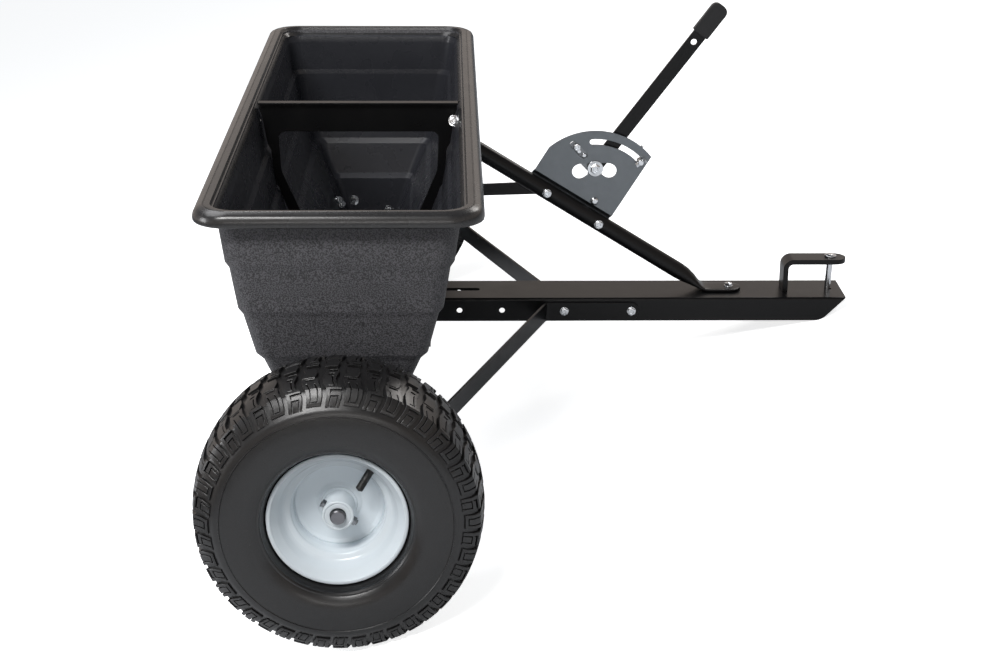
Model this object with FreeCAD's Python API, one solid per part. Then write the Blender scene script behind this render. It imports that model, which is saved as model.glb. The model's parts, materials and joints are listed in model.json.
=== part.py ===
import FreeCAD, Part
import math
import os

# Pull-type drop spreader: a long plastic hopper across two turf wheels, an axle that is
# also the agitator shaft, a sheet-steel tow bar, and a lever that works the shutter.
#
# Everything is drawn standing level, as it is towed: X runs forward to the hitch, Y runs
# along the axle to the far wheel, Z is up and the floor is Z 0.  The last section tips
# the machine about its axle until the tow bar's nose rests on the floor, which is how
# it parks, and moves the origin under the middle of the parked machine.

Vector = FreeCAD.Vector

# ---------------------------------------------------------------- driving dimensions
# wheels and axle
tyre_r = 184.0
tyre_half_w = 75.0
tyre_wall = 9.0
tread_half_w = 56.0
shoulder_drop = 6.0
wheel_gap = 58.0
lug_pairs = 22
first_lug = 19.8
second_lug = 21.0
first_lug_inset = 9.0
groove_depth = 4.0
crown_groove = 1.5
crown_groove_depth = 3.4
notch_depth = 3.7
shoulder_groove = 3.1
groove_bend_drop = 17.3
groove_bend_in = 14.4
groove_end_drop = 29.9
groove_end_in = 4.5
tread_turn = 5.9
cut_over = 1.0
bead_r = 76.2
bead_half_w = 50.5
flange_r = 89.0
flange_face = 55.5
rim_t = 2.5
well_r = 60.0
well_half_w = 22.0
boss_w = 12.0
boss_rise = 9.0
hub_r = 20.0
hub_half_l = 42.5
axle_r = 9.5
axle_end = 6.0
running_fit = 0.05
cross_bolt_r = 4.0
cross_bolt_inset = 12.0
cross_bolt_turn = -32.6
valve_r = 5.0
valve_l = 32.0
valve_turn = 37.0
valve_lean = 32.0

# hopper
rim_top = 542.0
rim_half_x = 185.4
rim_half_y = 614.6
rim_lip = 14.0
rim_t_lip = 4.5
rim_corner = 46.0
wall_t = 4.0
floor_z = 150.0
foot_half_x = 60.0
foot_t = 4.0
corner_ratio = 0.22

# Outer half widths of the hopper, from the flared mouth down its four tiers to the foot.
hopper_tiers = [
    # z, half x, half y
    (542.0, 166.0, 598.0),
    (536.0, 157.0, 592.5),
    (528.0, 151.5, 590.5),
    (516.0, 147.5, 590.0),
    (474.0, 141.0, 588.0),
    (464.0, 136.0, 581.0),
    (413.0, 132.0, 579.0),
    (402.0, 125.5, 572.0),
    (350.0, 107.0, 569.0),
    (339.0, 98.5, 562.0),
    (274.0, 75.0, 560.0),
    (266.0, 72.0, 552.0),
    (150.0, 30.5, 551.0),
]

# floor plate, shutter and outlets
plate_t = 2.0
plate_gap = 0.5
plate_half_x = 60.0
shutter_half_x = 29.0
shutter_half_y = 540.0
outlet_w = 14.0
outlet_l = 26.0
outlet_pitch = 50.0
outlet_count = 21
strap_w = 25.0
strap_hem = 8.0
strap_ys = (-500.0, -250.0, 250.0, 500.0)

# centre brace inside the hopper
brace_y = 12.0
brace_t = 3.0
brace_flange = 15.0
brace_top = 540.0
brace_band = 48.0
brace_leg = 17.0
brace_gap = 0.4
brace_ease = 0.4
brace_foot_z = 225.0
brace_sill = 26.0
brace_rounds = [10.0, 40.0, 20.0, 12.0]

# end brackets and axle bearings
bracket_t = 3.0
bracket_seat = 1.0
bracket_top = 250.0
ear_z0 = 200.0
ear_z1 = 236.0
ear_x = 112.0
bearing_r = 14.0
bearing_flange_r = 21.0
bearing_l = 14.0
collar_r = 16.0
collar_l = 10.0
collar_gap = 1.0
washer_t = 2.5

# agitator
sleeve_r = 12.5
finger_r = 3.0
finger_tip_r = 27.0
finger_pitch = 50.0
sleeve_half_gap = 34.0
sleeve_end = 520.0

# tow bar
bar_half_w = 46.0
bar_top = 237.0
bar_bottom = 199.5
bar_t = 3.0
bar_tip = 765.5
nose_r = 25.0
nose_angle = 45.0
bar_hole_z = 217.0
bar_hole_r = 4.5
bar_hole_xs = (155.8, 222.7)
rod_slot_end = 188.7
rod_slot_start = 84.0
rod_slot_half = 6.5
mount_half_w = 80.0
mount_t = 3.0
mount_gap = 0.4
mount_z0 = 196.0
mount_z1 = 330.0

# hitch strap and pin
strap_x = 669.0
strap_t = 8.0
strap_half_w = 18.5
strap_top = 290.8
strap_bend_r = 16.0
strap_end = 769.5
pin_x = 745.0
pin_r = 5.2
pin_clear = 0.4
pin_head_r = 9.0
pin_head_t = 5.0
pin_tail = 22.0

# side braces
brace_bar_t = 4.0
brace_bar_h = 29.0
brace_bar_z = 216.0
brace_front_x = 437.0
brace_bend_x = 290.0
brace_bolt_xs = (320.4, 426.2)
brace_corner_r = 12.0
brace_tab_l = 38.0

# support tube
tube_r = 13.0
tube_wall = 1.8
tube_low = (497.0, 271.3)
tube_high = (186.0, 448.6)
tube_foot_x = 604.0
tube_foot_start = 524.0
tube_flat_half = 19.0
tube_flat_t = 5.2
tube_foot_bolt_x = 585.0
tube_tab_top = 516.0
tube_tab_l = 40.0
quad_bolt_xs = (294.7, 377.1)
bolt_head_r = 7.0
bolt_head_t = 5.0
bolt_cap_t = 2.0

# quadrant plate
quad_pivot = (368.2, 381.4)
quad_y = 5.0
quad_t = 3.0
quad_r = 112.5
quad_front_angle = 39.0
quad_rear_angle = 130.0
joggle_near = 19.0
joggle_far = 13.5
stop_slot_r = 95.0
stop_front_angle = 42.0
stop_rear_angle = 93.0
stop_slot_half = 4.5
guide_slot_r = 54.5
guide_front_angle = 58.0
guide_rear_angle = 123.0
guide_lobe_r = 13.5
guide_lobe_at = 56.8
guide_waist = 8.5
arm_slot_a = (330.0, 472.8)
arm_slot_b = (353.0, 450.3)
arm_slot_half = 5.5
stop_bolt_r = 4.3
stop_knob_r = 10.0

# lever, link, rocker
layer_gap = 0.5
arm_t = 2.5
arm_half_w = 12.0
arm_l = 52.0
arm_angle = 134.0
lever_t = 5.0
lever_half_w = 11.0
lever_angle = 53.3
lever_knee = 52.7
lever_hole_t = 247.0
lever_hole_r = 4.85
grip_start = 262.0
grip_end = 317.0
grip_half_w = 13.8
grip_t = 10.0
pivot_r = 4.0
guide_bolt_r = 5.0
guide_washer_r = 12.5
link_up = 20.0
link_t = 4.0
link_half_h = 10.5
link_rear = (152.0, 393.5)
link_pin_r = 4.0
link_slack = 2.2
link_stand_off = 4.0
rocker_pivot = (110.0, 290.0)
rocker_low = (94.0, 154.0)
rocker_t = 4.0
rocker_half_w = 9.0
rocker_hub_r = 9.0
rocker_pin_r = 5.0
rocker_slack = 0.3
ear_t = 3.0
ear_half_w = 14.0
tongue_half_w = 16.0

# ------------------------------------------------------------------- derived values
axle_z = tyre_r
bracket_in = hopper_tiers[-1][2] + bracket_seat
bracket_out = bracket_in + bracket_t
track_half = bracket_out + wheel_gap + tyre_half_w
hub_face = track_half + hub_half_l
plate_top = floor_z
plate_bottom = plate_top - plate_t
shutter_top = plate_bottom - plate_gap
shutter_bottom = shutter_top - plate_t
guide_top = shutter_bottom - plate_gap
pivot_x = quad_pivot[0]
pivot_z = quad_pivot[1]
quad_back = quad_y + quad_t
arm_y = quad_back + layer_gap
lever_y = arm_y + arm_t + layer_gap
link_y = lever_y + lever_t + link_stand_off
rocker_y = link_y + link_t + layer_gap
knee_x = pivot_x
knee_z = pivot_z + lever_knee
tube_slope = math.atan2(tube_low[1] - tube_high[1], tube_low[0] - tube_high[0])
tube_dir = (math.cos(tube_slope), math.sin(tube_slope))


# -------------------------------------------------------------------- small helpers
def box(x0, x1, y0, y1, z0, z1):
    """Box between two corners."""
    return Part.makeBox(x1 - x0, y1 - y0, z1 - z0, Vector(x0, y0, z0))


def rod(r, start, end):
    """Round bar between two points."""
    run = end - start
    return Part.makeCylinder(r, run.Length, start, run)


def rod_y(r, x, z, y0, y1):
    """Round bar along Y."""
    return rod(r, Vector(x, y0, z), Vector(x, y1, z))


def join(shapes):
    """One solid from shapes that touch or overlap."""
    whole = shapes[0]
    for other in shapes[1:]:
        whole = whole.fuse(other)
    return whole.removeSplitter()


def rounded(points, radii):
    """Closed edge loop through points, each corner replaced by a tangent arc."""
    edges = []
    ends = []
    count = len(points)
    for i in range(count):
        here = points[i]
        back = points[i - 1] - here
        ahead = points[(i + 1) % count] - here
        radius = radii[i]
        if radius <= 0:
            ends.append((here, here, None))
            continue
        half = back.getAngle(ahead) / 2
        reach = radius / math.tan(half)
        back.normalize()
        ahead.normalize()
        middle = back + ahead
        middle.normalize()
        top = here + middle * (radius / math.sin(half) - radius)
        ends.append((here + back * reach, here + ahead * reach, top))
    for i in range(count):
        first, last, top = ends[i]
        if top is not None:
            edges.append(Part.Arc(first, top, last).toShape())
        following = ends[(i + 1) % count][0]
        if (following - last).Length > 1e-6:
            edges.append(Part.makeLine(last, following))
    return Part.Wire(edges)


def slab_y(points, y0, y1, radii=None):
    """Plate lying in XZ, with rounded corners, between two Y values."""
    corners = [Vector(x, y0, z) for x, z in points]
    radii = radii or [0] * len(corners)
    return Part.Face(rounded(corners, radii)).extrude(Vector(0, y1 - y0, 0))


def slab_z(points, z0, z1, radii=None):
    """Plate lying in XY, with rounded corners, between two Z values."""
    corners = [Vector(x, y, z0) for x, y in points]
    radii = radii or [0] * len(corners)
    return Part.Face(rounded(corners, radii)).extrude(Vector(0, 0, z1 - z0))


def bar_y(start, end, half_w, y0, y1):
    """Flat bar in XZ from one point to another, with round ends."""
    run_x = end[0] - start[0]
    run_z = end[1] - start[1]
    length = math.hypot(run_x, run_z)
    side = (-run_z / length * half_w, run_x / length * half_w)
    points = [
        (start[0] + side[0], start[1] + side[1]),
        (start[0] - side[0], start[1] - side[1]),
        (end[0] - side[0], end[1] - side[1]),
        (end[0] + side[0], end[1] + side[1]),
    ]
    body = slab_y(points, y0, y1)
    return join([body, rod_y(half_w, *start, y0, y1), rod_y(half_w, *end, y0, y1)])


def arc_slot(r, a0, a1, half_w, y0, y1):
    """Arc-shaped cutter about the quadrant's pivot, with round ends."""
    outer = rod_y(r + half_w, pivot_x, pivot_z, y0, y1)
    inner = rod_y(r - half_w, pivot_x, pivot_z, y0, y1)
    reach = 4 * r
    wedge = [(pivot_x, pivot_z)]
    for angle in (a0, (a0 + a1) / 2, a1):
        wedge.append(on_quadrant(reach, angle))
    band = outer.cut(inner).common(slab_y(wedge, y0, y1))
    ends = [rod_y(half_w, *on_quadrant(r, a), y0, y1) for a in (a0, a1)]
    return join([band] + ends)


def on_quadrant(r, angle):
    """Point at a radius and angle (degrees up from +X) about the quadrant's pivot."""
    turn = math.radians(angle)
    return (pivot_x + r * math.cos(turn), pivot_z + r * math.sin(turn))


def mirror_y(shape):
    """The same shape on the other side of the machine."""
    return shape.mirror(Vector(0, 0, 0), Vector(0, 1, 0))


def turned(profile, centre_y, outward):
    """Ring of revolution about the axle; profile is (radius, offset outward) edges."""
    points = [Vector(0, centre_y + outward * w, axle_z + r) for r, w in profile]
    face = Part.Face(Part.makePolygon(points + points[:1]))
    return face.revolve(Vector(0, 0, axle_z), Vector(0, 1, 0), 360)


def wall_x(z, inward=0.0):
    """Half width of the hopper at a height, measured in by the given wall."""
    for upper, lower in zip(hopper_tiers, hopper_tiers[1:]):
        if lower[0] <= z <= upper[0]:
            share = (z - lower[0]) / (upper[0] - lower[0])
            return lower[1] + share * (upper[1] - lower[1]) - inward
    return hopper_tiers[-1][1] - inward


# ---------------------------------------------------------------------------- hopper
def corner_at(half_x):
    """Plan corner radius, smaller where the hopper is narrower."""
    return corner_ratio * half_x + 4


def ring_wire(half_x, half_y, corner, z):
    """Rounded rectangle in plan."""
    points = [
        Vector(half_x, -half_y, z),
        Vector(half_x, half_y, z),
        Vector(-half_x, half_y, z),
        Vector(-half_x, -half_y, z),
    ]
    return rounded(points, [corner] * 4)


def plan_block(half_x, half_y, corner, z0, z1):
    """Rounded rectangle in plan, between two heights."""
    return Part.Face(ring_wire(half_x, half_y, corner, z0)).extrude(Vector(0, 0, z1 - z0))


def hopper_body(inset):
    """The tiers as one solid, drawn in by the inset all round."""
    wires = []
    for z, half_x, half_y in hopper_tiers:
        wires.append(ring_wire(half_x - inset, half_y - inset, corner_at(half_x) - inset / 2, z))
    return Part.makeLoft(wires, True, True)


def hopper_shell():
    """Moulded hopper: tiers, rolled rim and a foot flange round the open slot."""
    rim = plan_block(rim_half_x, rim_half_y, rim_corner, rim_top - rim_lip, rim_top)
    inner_corner = rim_corner - rim_t_lip
    under = plan_block(rim_half_x - rim_t_lip, rim_half_y - rim_t_lip, inner_corner,
                       rim_top - rim_lip - 1, rim_top - rim_t_lip)
    top_edges = [e for e in rim.Edges if e.BoundBox.ZMin > rim_top - 0.1]
    rim = rim.makeFillet(rim_t_lip * 0.9, top_edges)
    foot = box(-foot_half_x, foot_half_x, -bracket_in + 1, bracket_in - 1,
               floor_z, floor_z + foot_t)
    outer = join([rim.cut(under), hopper_body(0), foot])
    shell = outer.cut(hopper_body(wall_t))
    return shell.cut(axle_bore(bearing_r))


def axle_bore(r):
    """Cutter for a hole round the axle line, right across the machine."""
    return rod_y(r, 0, axle_z, -2 * track_half, 2 * track_half)


def outlets(x_shift):
    """Row of outlet slots through the floor."""
    cuts = []
    first = -(outlet_count - 1) / 2
    for i in range(outlet_count):
        y = (first + i) * outlet_pitch
        cuts.append(box(x_shift - outlet_w / 2, x_shift + outlet_w / 2,
                        y - outlet_l / 2, y + outlet_l / 2,
                        guide_top - 1, floor_z + 1))
    return Part.makeCompound(cuts)


def floor_plate():
    """Steel floor under the hopper's foot, with the outlets."""
    plate = box(-plate_half_x, plate_half_x, -shutter_half_y, shutter_half_y,
                plate_bottom, plate_top)
    return plate.cut(outlets(0))


def guide_straps():
    """Straps under the shutter that hang from the floor plate."""
    inner_x = plate_half_x - strap_hem
    straps = []
    for y in strap_ys:
        y0 = y - strap_w / 2
        y1 = y + strap_w / 2
        sole = box(-inner_x, inner_x, y0, y1, guide_top - plate_t, guide_top)
        parts = [sole]
        for side in (-1, 1):
            xs = sorted((side * inner_x, side * (inner_x - plate_t)))
            parts.append(box(*xs, y0, y1, guide_top - plate_t, plate_bottom))
            xs = sorted((side * inner_x, side * plate_half_x))
            parts.append(box(*xs, y0, y1, plate_bottom - plate_t, plate_bottom))
        straps.append(join(parts))
    return Part.makeCompound(straps)


def shutter():
    """Sliding sheet under the floor, with the tongue that the rocker moves."""
    sheet = box(-shutter_half_x, shutter_half_x, -shutter_half_y + 10, shutter_half_y - 10,
                shutter_bottom, shutter_top)
    closed_shift = -outlet_w - 2
    sheet = sheet.cut(outlets(closed_shift))
    tongue_x = rocker_low[0] + tongue_half_w
    tongue = box(shutter_half_x, tongue_x, -tongue_half_w, tongue_half_w,
                 shutter_bottom, shutter_top)
    fork_y = rocker_t / 2 + layer_gap
    fork = slab_y([(rocker_low[0] - tongue_half_w, shutter_bottom),
                   (tongue_x, shutter_bottom),
                   (tongue_x, rocker_low[1] + tongue_half_w),
                   (rocker_low[0] - tongue_half_w, rocker_low[1] + tongue_half_w)],
                  fork_y, fork_y + bar_t, [0, 0, 10, 10])
    slot_half = rocker_pin_r + rocker_slack
    slot_low = rocker_low[1] - rocker_pin_r - 2
    slot_high = rocker_low[1] + rocker_pin_r + 3
    slot = box(rocker_low[0] - slot_half, rocker_low[0] + slot_half,
               fork_y - 1, fork_y + bar_t + 1, slot_low, slot_high)
    relief = box(rocker_low[0] - 2 * slot_half, rocker_low[0] + 2 * slot_half,
                 -rocker_t, fork_y, shutter_bottom - 1, shutter_top + 1)
    return join([sheet, tongue.cut(relief), fork.cut(slot)])


def centre_brace():
    """Arch-shaped bulkhead of folded sheet that ties the two long walls."""
    inset = wall_t + brace_gap
    tier_zs = [z for z, half_x, half_y in hopper_tiers if brace_foot_z < z < brace_top]
    heights = [brace_top] + tier_zs + [brace_foot_z]
    outer = [(wall_x(z, inset) - brace_ease, z) for z in heights]
    outline = outer + [(-x, z) for x, z in reversed(outer)]
    window_top = brace_top - brace_band
    sill = brace_foot_z + brace_sill
    shoulder_z = hopper_tiers[4][0]
    bend_z = hopper_tiers[6][0]
    shin_z = hopper_tiers[9][0]
    inner = [(wall_x(shoulder_z, inset) - 1.4 * brace_leg, window_top),
             (wall_x(bend_z, inset) - brace_leg, bend_z + brace_leg),
             (wall_x(shin_z, inset) - brace_leg, shin_z + brace_leg / 3),
             (wall_x(sill, inset) - brace_leg, sill)]
    opening = inner + [(-x, z) for x, z in reversed(inner)]
    web = slab_y(outline, brace_y - brace_t, brace_y)
    window = slab_y(opening, brace_y - brace_t - 1, brace_y + 1,
                    brace_rounds + brace_rounds[::-1])
    top_half = wall_x(brace_top - brace_t, inset) - brace_ease
    flange = box(-top_half, top_half, brace_y - brace_flange, brace_y,
                 brace_top - brace_t, brace_top)
    return join([web.cut(window), flange])


# ------------------------------------------------------------ end brackets, bearings
def end_bracket():
    """Steel end plate on the far end wall, with the ear for the side brace."""
    low = wall_x(floor_z) + 8
    high = wall_x(bracket_top) + 2
    outline = [(-low, plate_bottom), (low, plate_bottom), (low + 12, ear_z0),
               (ear_x, ear_z0), (ear_x, ear_z1), (high, ear_z1), (high, bracket_top),
               (-high, bracket_top)]
    plate = slab_y(outline, bracket_in, bracket_out, [6, 6, 10, 8, 8, 4, 8, 8])
    return plate.cut(axle_bore(bearing_r))


def axle_bearing():
    """Flanged bush in the far end bracket."""
    tube = rod_y(bearing_r, 0, axle_z, bracket_in - 8, bracket_in - 8 + bearing_l)
    flange = rod_y(bearing_flange_r, 0, axle_z, bracket_out, bracket_out + bracket_t)
    return join([tube, flange]).cut(axle_bore(axle_r + running_fit))


def axle():
    """Cross shaft from wheel to wheel."""
    length = hub_face + axle_end
    shaft = rod_y(axle_r, 0, axle_z, -length, length)
    edges = [e for e in shaft.Edges if e.Closed]
    return shaft.makeChamfer(1.2, edges)


def collar(y0):
    """Ring fixed on the axle."""
    ring = rod_y(collar_r, 0, axle_z, y0, y0 + collar_l)
    return ring.cut(axle_bore(axle_r))


def wheel_retainers():
    """Rings on the axle each side of the far wheel's hub."""
    inboard = collar(track_half - hub_half_l - collar_gap - collar_l)
    washer_y = hub_face + collar_gap
    washer = rod_y(hub_r * 0.8, 0, axle_z, washer_y, washer_y + washer_t)
    return Part.makeCompound([inboard, washer.cut(axle_bore(axle_r))])


def agitator():
    """Sleeve with fingers on the far half of the axle; each finger crosses the next."""
    sleeve = rod_y(sleeve_r, 0, axle_z, sleeve_half_gap, sleeve_end)
    parts = [sleeve]
    count = int((sleeve_end - sleeve_half_gap) / finger_pitch)
    for i in range(count):
        y = sleeve_half_gap + (i + 0.5) * finger_pitch
        if i % 2:
            parts.append(rod(finger_r, Vector(-finger_tip_r, y, axle_z),
                             Vector(finger_tip_r, y, axle_z)))
        else:
            parts.append(rod(finger_r, Vector(0, y, axle_z - finger_tip_r),
                             Vector(0, y, axle_z + finger_tip_r)))
    return join(parts).cut(axle_bore(axle_r))


# ---------------------------------------------------------------------------- wheels
def rim(centre_y, outward):
    """Pressed steel rim: flanges, bead seats, well and a dished centre."""
    seat = bead_r
    side = []
    for sign in (1, -1):
        side.append([
            (flange_r, sign * flange_face),
            (flange_r, sign * (flange_face - rim_t)),
            (seat, sign * bead_half_w),
            (seat, sign * (well_half_w + 8)),
            (well_r, sign * well_half_w),
        ])
    outside = side[0] + side[1][::-1]
    inside = [
        (flange_r, -flange_face),
        (seat - rim_t, -bead_half_w - rim_t),
        (seat - rim_t, -well_half_w - 9),
        (well_r - rim_t, -well_half_w - 1),
        (well_r - rim_t, well_half_w + 1),
        (seat - rim_t, well_half_w + 9),
        (seat - rim_t, bead_half_w + rim_t),
        (flange_r, flange_face),
    ]
    barrel = turned(outside + inside[1:-1], centre_y, outward)
    root = well_r - rim_t
    half = rim_t / 2
    dish = [
        (root + 1, half),
        (root + 1, -half),
        (hub_r + boss_w, -half),
        (hub_r + boss_w / 2, boss_rise / 2),
        (hub_r, boss_rise - rim_t),
        (hub_r, boss_rise),
        (hub_r + boss_w / 2, boss_rise - 1),
        (hub_r + boss_w + rim_t, half),
    ]
    whole = join([barrel, turned(dish, centre_y, outward)])
    return whole.cut(valve(centre_y, outward))


def hub(centre_y, bore):
    """Hub tube of a wheel."""
    tube = rod_y(hub_r, 0, axle_z, centre_y - hub_half_l, centre_y + hub_half_l)
    return tube.cut(axle_bore(bore))


def tread_grooves(centre_y):
    """Cutters round the tread: a ring on the crown, two channels for each pair of lugs."""
    mm_turn = math.degrees(1 / tyre_r)
    pair_w = math.radians(360 / lug_pairs) * tyre_r
    channel_w = (pair_w - first_lug - second_lug) / 2
    above = tyre_r + cut_over

    def spot(r, w):
        return Vector(0, centre_y + w, axle_z + r)

    def channel_face(side):
        crown = spot(tyre_r - groove_depth, side * crown_groove / 2)
        crown_mid = spot(tyre_r - groove_depth - shoulder_drop / 4, side * tread_half_w / 2)
        corner = spot(tyre_r - shoulder_drop - shoulder_groove,
                      side * (tread_half_w - groove_depth / 2))
        bend = spot(tyre_r - groove_bend_drop, side * (tyre_half_w - groove_bend_in))
        end = spot(tyre_r - groove_end_drop, side * (tyre_half_w - groove_end_in))
        outer = spot(above, side * tyre_half_w)
        top = spot(above, side * crown_groove / 2)
        edges = [Part.Arc(crown, crown_mid, corner).toShape(),
                 Part.Arc(corner, bend, end).toShape(),
                 Part.makeLine(end, outer),
                 Part.makeLine(outer, top),
                 Part.makeLine(top, crown)]
        return Part.Face(Part.Wire(edges))

    def notch_face(side):
        near = side * crown_groove / 2
        far = side * first_lug_inset
        bottom = tyre_r - notch_depth
        corners = [spot(bottom, near), spot(bottom, far), spot(above, far), spot(above, near)]
        return Part.Face(Part.makePolygon(corners + corners[:1]))

    def sector(face, start, width):
        middle = Vector(0, 0, axle_z)
        axis = Vector(0, -1, 0)
        wedge = face.revolve(middle, axis, width * mm_turn)
        wedge.rotate(middle, axis, start * mm_turn + tread_turn - 90)
        return wedge

    ring = rod_y(above, 0, axle_z, centre_y - crown_groove, centre_y + crown_groove)
    cutters = [ring.cut(rod_y(tyre_r - crown_groove_depth, 0, axle_z,
                              centre_y - crown_groove, centre_y + crown_groove))]
    for side, shift in ((-1, 0.0), (1, 0.5)):
        channel = channel_face(side)
        notch = notch_face(side)
        for k in range(lug_pairs):
            start = (k + shift) * pair_w
            cutters.append(sector(notch, start - cut_over, first_lug + 2 * cut_over))
            cutters.append(sector(channel, start + first_lug, channel_w))
            cutters.append(sector(channel, start + pair_w - channel_w, channel_w))
    return cutters


def tyre(centre_y):
    """Pneumatic tyre: hollow, with round shoulders, turf lugs and bulging side walls."""
    def arc(a, b, c):
        points = [Vector(0, centre_y + w, axle_z + r) for r, w in (a, b, c)]
        return Part.Arc(*points).toShape()

    def line(a, b):
        points = [Vector(0, centre_y + w, axle_z + r) for r, w in (a, b)]
        return Part.makeLine(*points)

    def skin(inset):
        crown = tyre_r - inset
        shoulder_w = tread_half_w - inset
        shoulder_r = tyre_r - shoulder_drop - inset
        widest = (bead_r + 47, tyre_half_w - inset)
        foot = (flange_r + 1, bead_half_w - inset)
        foot_mid = (bead_r + 25, tyre_half_w - 5 - inset)
        side_mid = (tyre_r - 27 - inset, tyre_half_w - 6 - inset)
        edges = [line((bead_r, foot[1]), foot),
                 arc(foot, foot_mid, widest),
                 arc(widest, side_mid, (shoulder_r, shoulder_w)),
                 arc((shoulder_r, shoulder_w), (crown, 0), (shoulder_r, -shoulder_w)),
                 arc((shoulder_r, -shoulder_w), (side_mid[0], -side_mid[1]),
                     (widest[0], -widest[1])),
                 arc((widest[0], -widest[1]), (foot_mid[0], -foot_mid[1]),
                     (foot[0], -foot[1])),
                 line((foot[0], -foot[1]), (bead_r, -foot[1]))]
        return edges

    outer = skin(0)
    inner = skin(tyre_wall)
    half = bead_half_w
    inner_half = bead_half_w - tyre_wall
    ends = [line((bead_r, -half), (bead_r, -inner_half)),
            line((bead_r, inner_half), (bead_r, half))]
    face = Part.Face(Part.Wire(Part.__sortEdges__(outer + inner + ends)))
    casing = face.revolve(Vector(0, 0, axle_z), Vector(0, 1, 0), 360)
    return casing.cut(tread_grooves(centre_y))


def valve(centre_y, outward):
    """Rubber valve stem through the slope of the rim's well, with its cap."""
    turn = math.radians(valve_turn)
    spoke = Vector(math.sin(turn), 0, math.cos(turn))
    out = Vector(0, outward, 0)
    start = Vector(0, centre_y, axle_z) + spoke * (well_r + 10) + out * (well_half_w + 3)
    lean = math.radians(valve_lean)
    run = out * math.sin(lean) - spoke * math.cos(lean)
    middle = start + run * valve_l * 0.6
    stem = rod(valve_r, start, middle)
    return join([stem, rod(valve_r * 0.85, middle, start + run * valve_l)])


def cross_direction():
    """Direction of the cross bolt, square to the axle."""
    turn = math.radians(cross_bolt_turn)
    return Vector(math.cos(turn), 0, math.sin(turn))


def cross_bolt(y):
    """Bolt through hub and axle, with a head and a nut outside the hub."""
    lean = cross_direction()
    centre = Vector(0, y, axle_z)
    shank = rod(cross_bolt_r, centre - lean * (hub_r + 6), centre + lean * (hub_r + 8))
    head = rod(cross_bolt_r * 1.8, centre - lean * (hub_r + 5), centre - lean * hub_r)
    nut = rod(cross_bolt_r * 1.8, centre + lean * hub_r, centre + lean * (hub_r + 6))
    return join([shank, head, nut])


def cross_hole(y):
    """Cutter for the cross bolt's hole."""
    lean = cross_direction()
    centre = Vector(0, y, axle_z)
    reach = 2 * hub_r
    return rod(cross_bolt_r, centre - lean * reach, centre + lean * reach)


# --------------------------------------------------------------------------- tow bar
def tow_bar():
    """Channel with its open side down, a chamfered nose and the rocker's slot."""
    rise = math.radians(nose_angle)
    nose_x = bar_tip - 2
    start_x = nose_x - (bar_top - 2 - bar_bottom) / math.tan(rise)
    side = [(wall_x(bar_bottom) + mount_t + 1, bar_bottom), (start_x, bar_bottom),
            (nose_x, bar_top - 2), (bar_tip, bar_top),
            (wall_x(bar_top) + mount_t + 1, bar_top)]
    radii = [0, nose_r, 0, 0, 0]
    outer = slab_y(side, -bar_half_w, bar_half_w, radii)
    bends = [e for e in outer.Edges
             if abs(e.BoundBox.ZMin - bar_top) < 0.1 and e.BoundBox.XLength > bar_half_w * 2]
    outer = outer.makeFillet(bar_t + 1, bends)
    inner_half = bar_half_w - bar_t
    hollow = box(0, bar_tip + 1, -inner_half, inner_half, bar_bottom - 1, bar_top - bar_t)
    bar = outer.cut(hollow)
    for x in bar_hole_xs + brace_bolt_xs:
        bar = bar.cut(rod_y(bar_hole_r, x, bar_hole_z, -bar_half_w - 1, bar_half_w + 1))
    bar = bar.cut(rod(bar_hole_r, Vector(tube_foot_bolt_x, 0, bar_top - bar_t - 1),
                      Vector(tube_foot_bolt_x, 0, bar_top + 1)))
    slot = slab_z([(rod_slot_start, -rod_slot_half), (rod_slot_end, -rod_slot_half),
                   (rod_slot_end, rod_slot_half), (rod_slot_start, rod_slot_half)],
                  bar_top - bar_t - 1, bar_top + 1,
                  [2, rod_slot_half - 0.1, rod_slot_half - 0.1, 2])
    return bar.cut(slot).cut(pin_hole())


def pin_hole():
    """Cutter for the hitch pin's holes."""
    r = pin_r + pin_clear
    return rod(r, Vector(pin_x, 0, bar_bottom - 1), Vector(pin_x, 0, strap_top + 1))


def bar_mount():
    """Plate at the tow bar's root that lies on the hopper's front wall."""
    x0 = wall_x(mount_z0) + mount_gap
    x1 = wall_x(mount_z1) + mount_gap
    profile = [(x0, mount_z0), (x0 + mount_t, mount_z0), (x1 + mount_t, mount_z1),
               (x1, mount_z1)]
    plate = slab_y(profile, -mount_half_w, mount_half_w)
    lugs = []
    for side in (-1, 1):
        ys = sorted((side * bar_half_w, side * (bar_half_w + mount_t)))
        lug = [(wall_x(bar_bottom) + 1, bar_bottom), (rod_slot_end - 70, bar_bottom),
               (rod_slot_end - 70, bar_top - 6), (wall_x(bar_top) + 1, bar_top - 6)]
        lugs.append(slab_y(lug, *ys, [0, 8, 8, 0]))
    return join([plate] + lugs)


def hitch_strap():
    """Strap bent over the tow bar's nose; with the bar it makes the clevis."""
    inner_r = strap_bend_r - strap_t
    outline = [(strap_x, bar_top), (strap_x + strap_t, bar_top),
               (strap_x + strap_t, strap_top - strap_t),
               (strap_end, strap_top - strap_t), (strap_end, strap_top),
               (strap_x, strap_top)]
    body = slab_y(outline, -strap_half_w, strap_half_w,
                  [0, 0, inner_r, 0, 0, strap_bend_r])
    round_x = strap_end - strap_half_w
    corner = box(round_x, strap_end + 1, -strap_half_w - 1, strap_half_w + 1,
                 strap_top - strap_t - 1, strap_top + 1)
    corner = corner.cut(rod(strap_half_w, Vector(round_x, 0, strap_top - strap_t - 2),
                            Vector(round_x, 0, strap_top + 2)))
    return body.cut(corner).cut(pin_hole())


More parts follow.
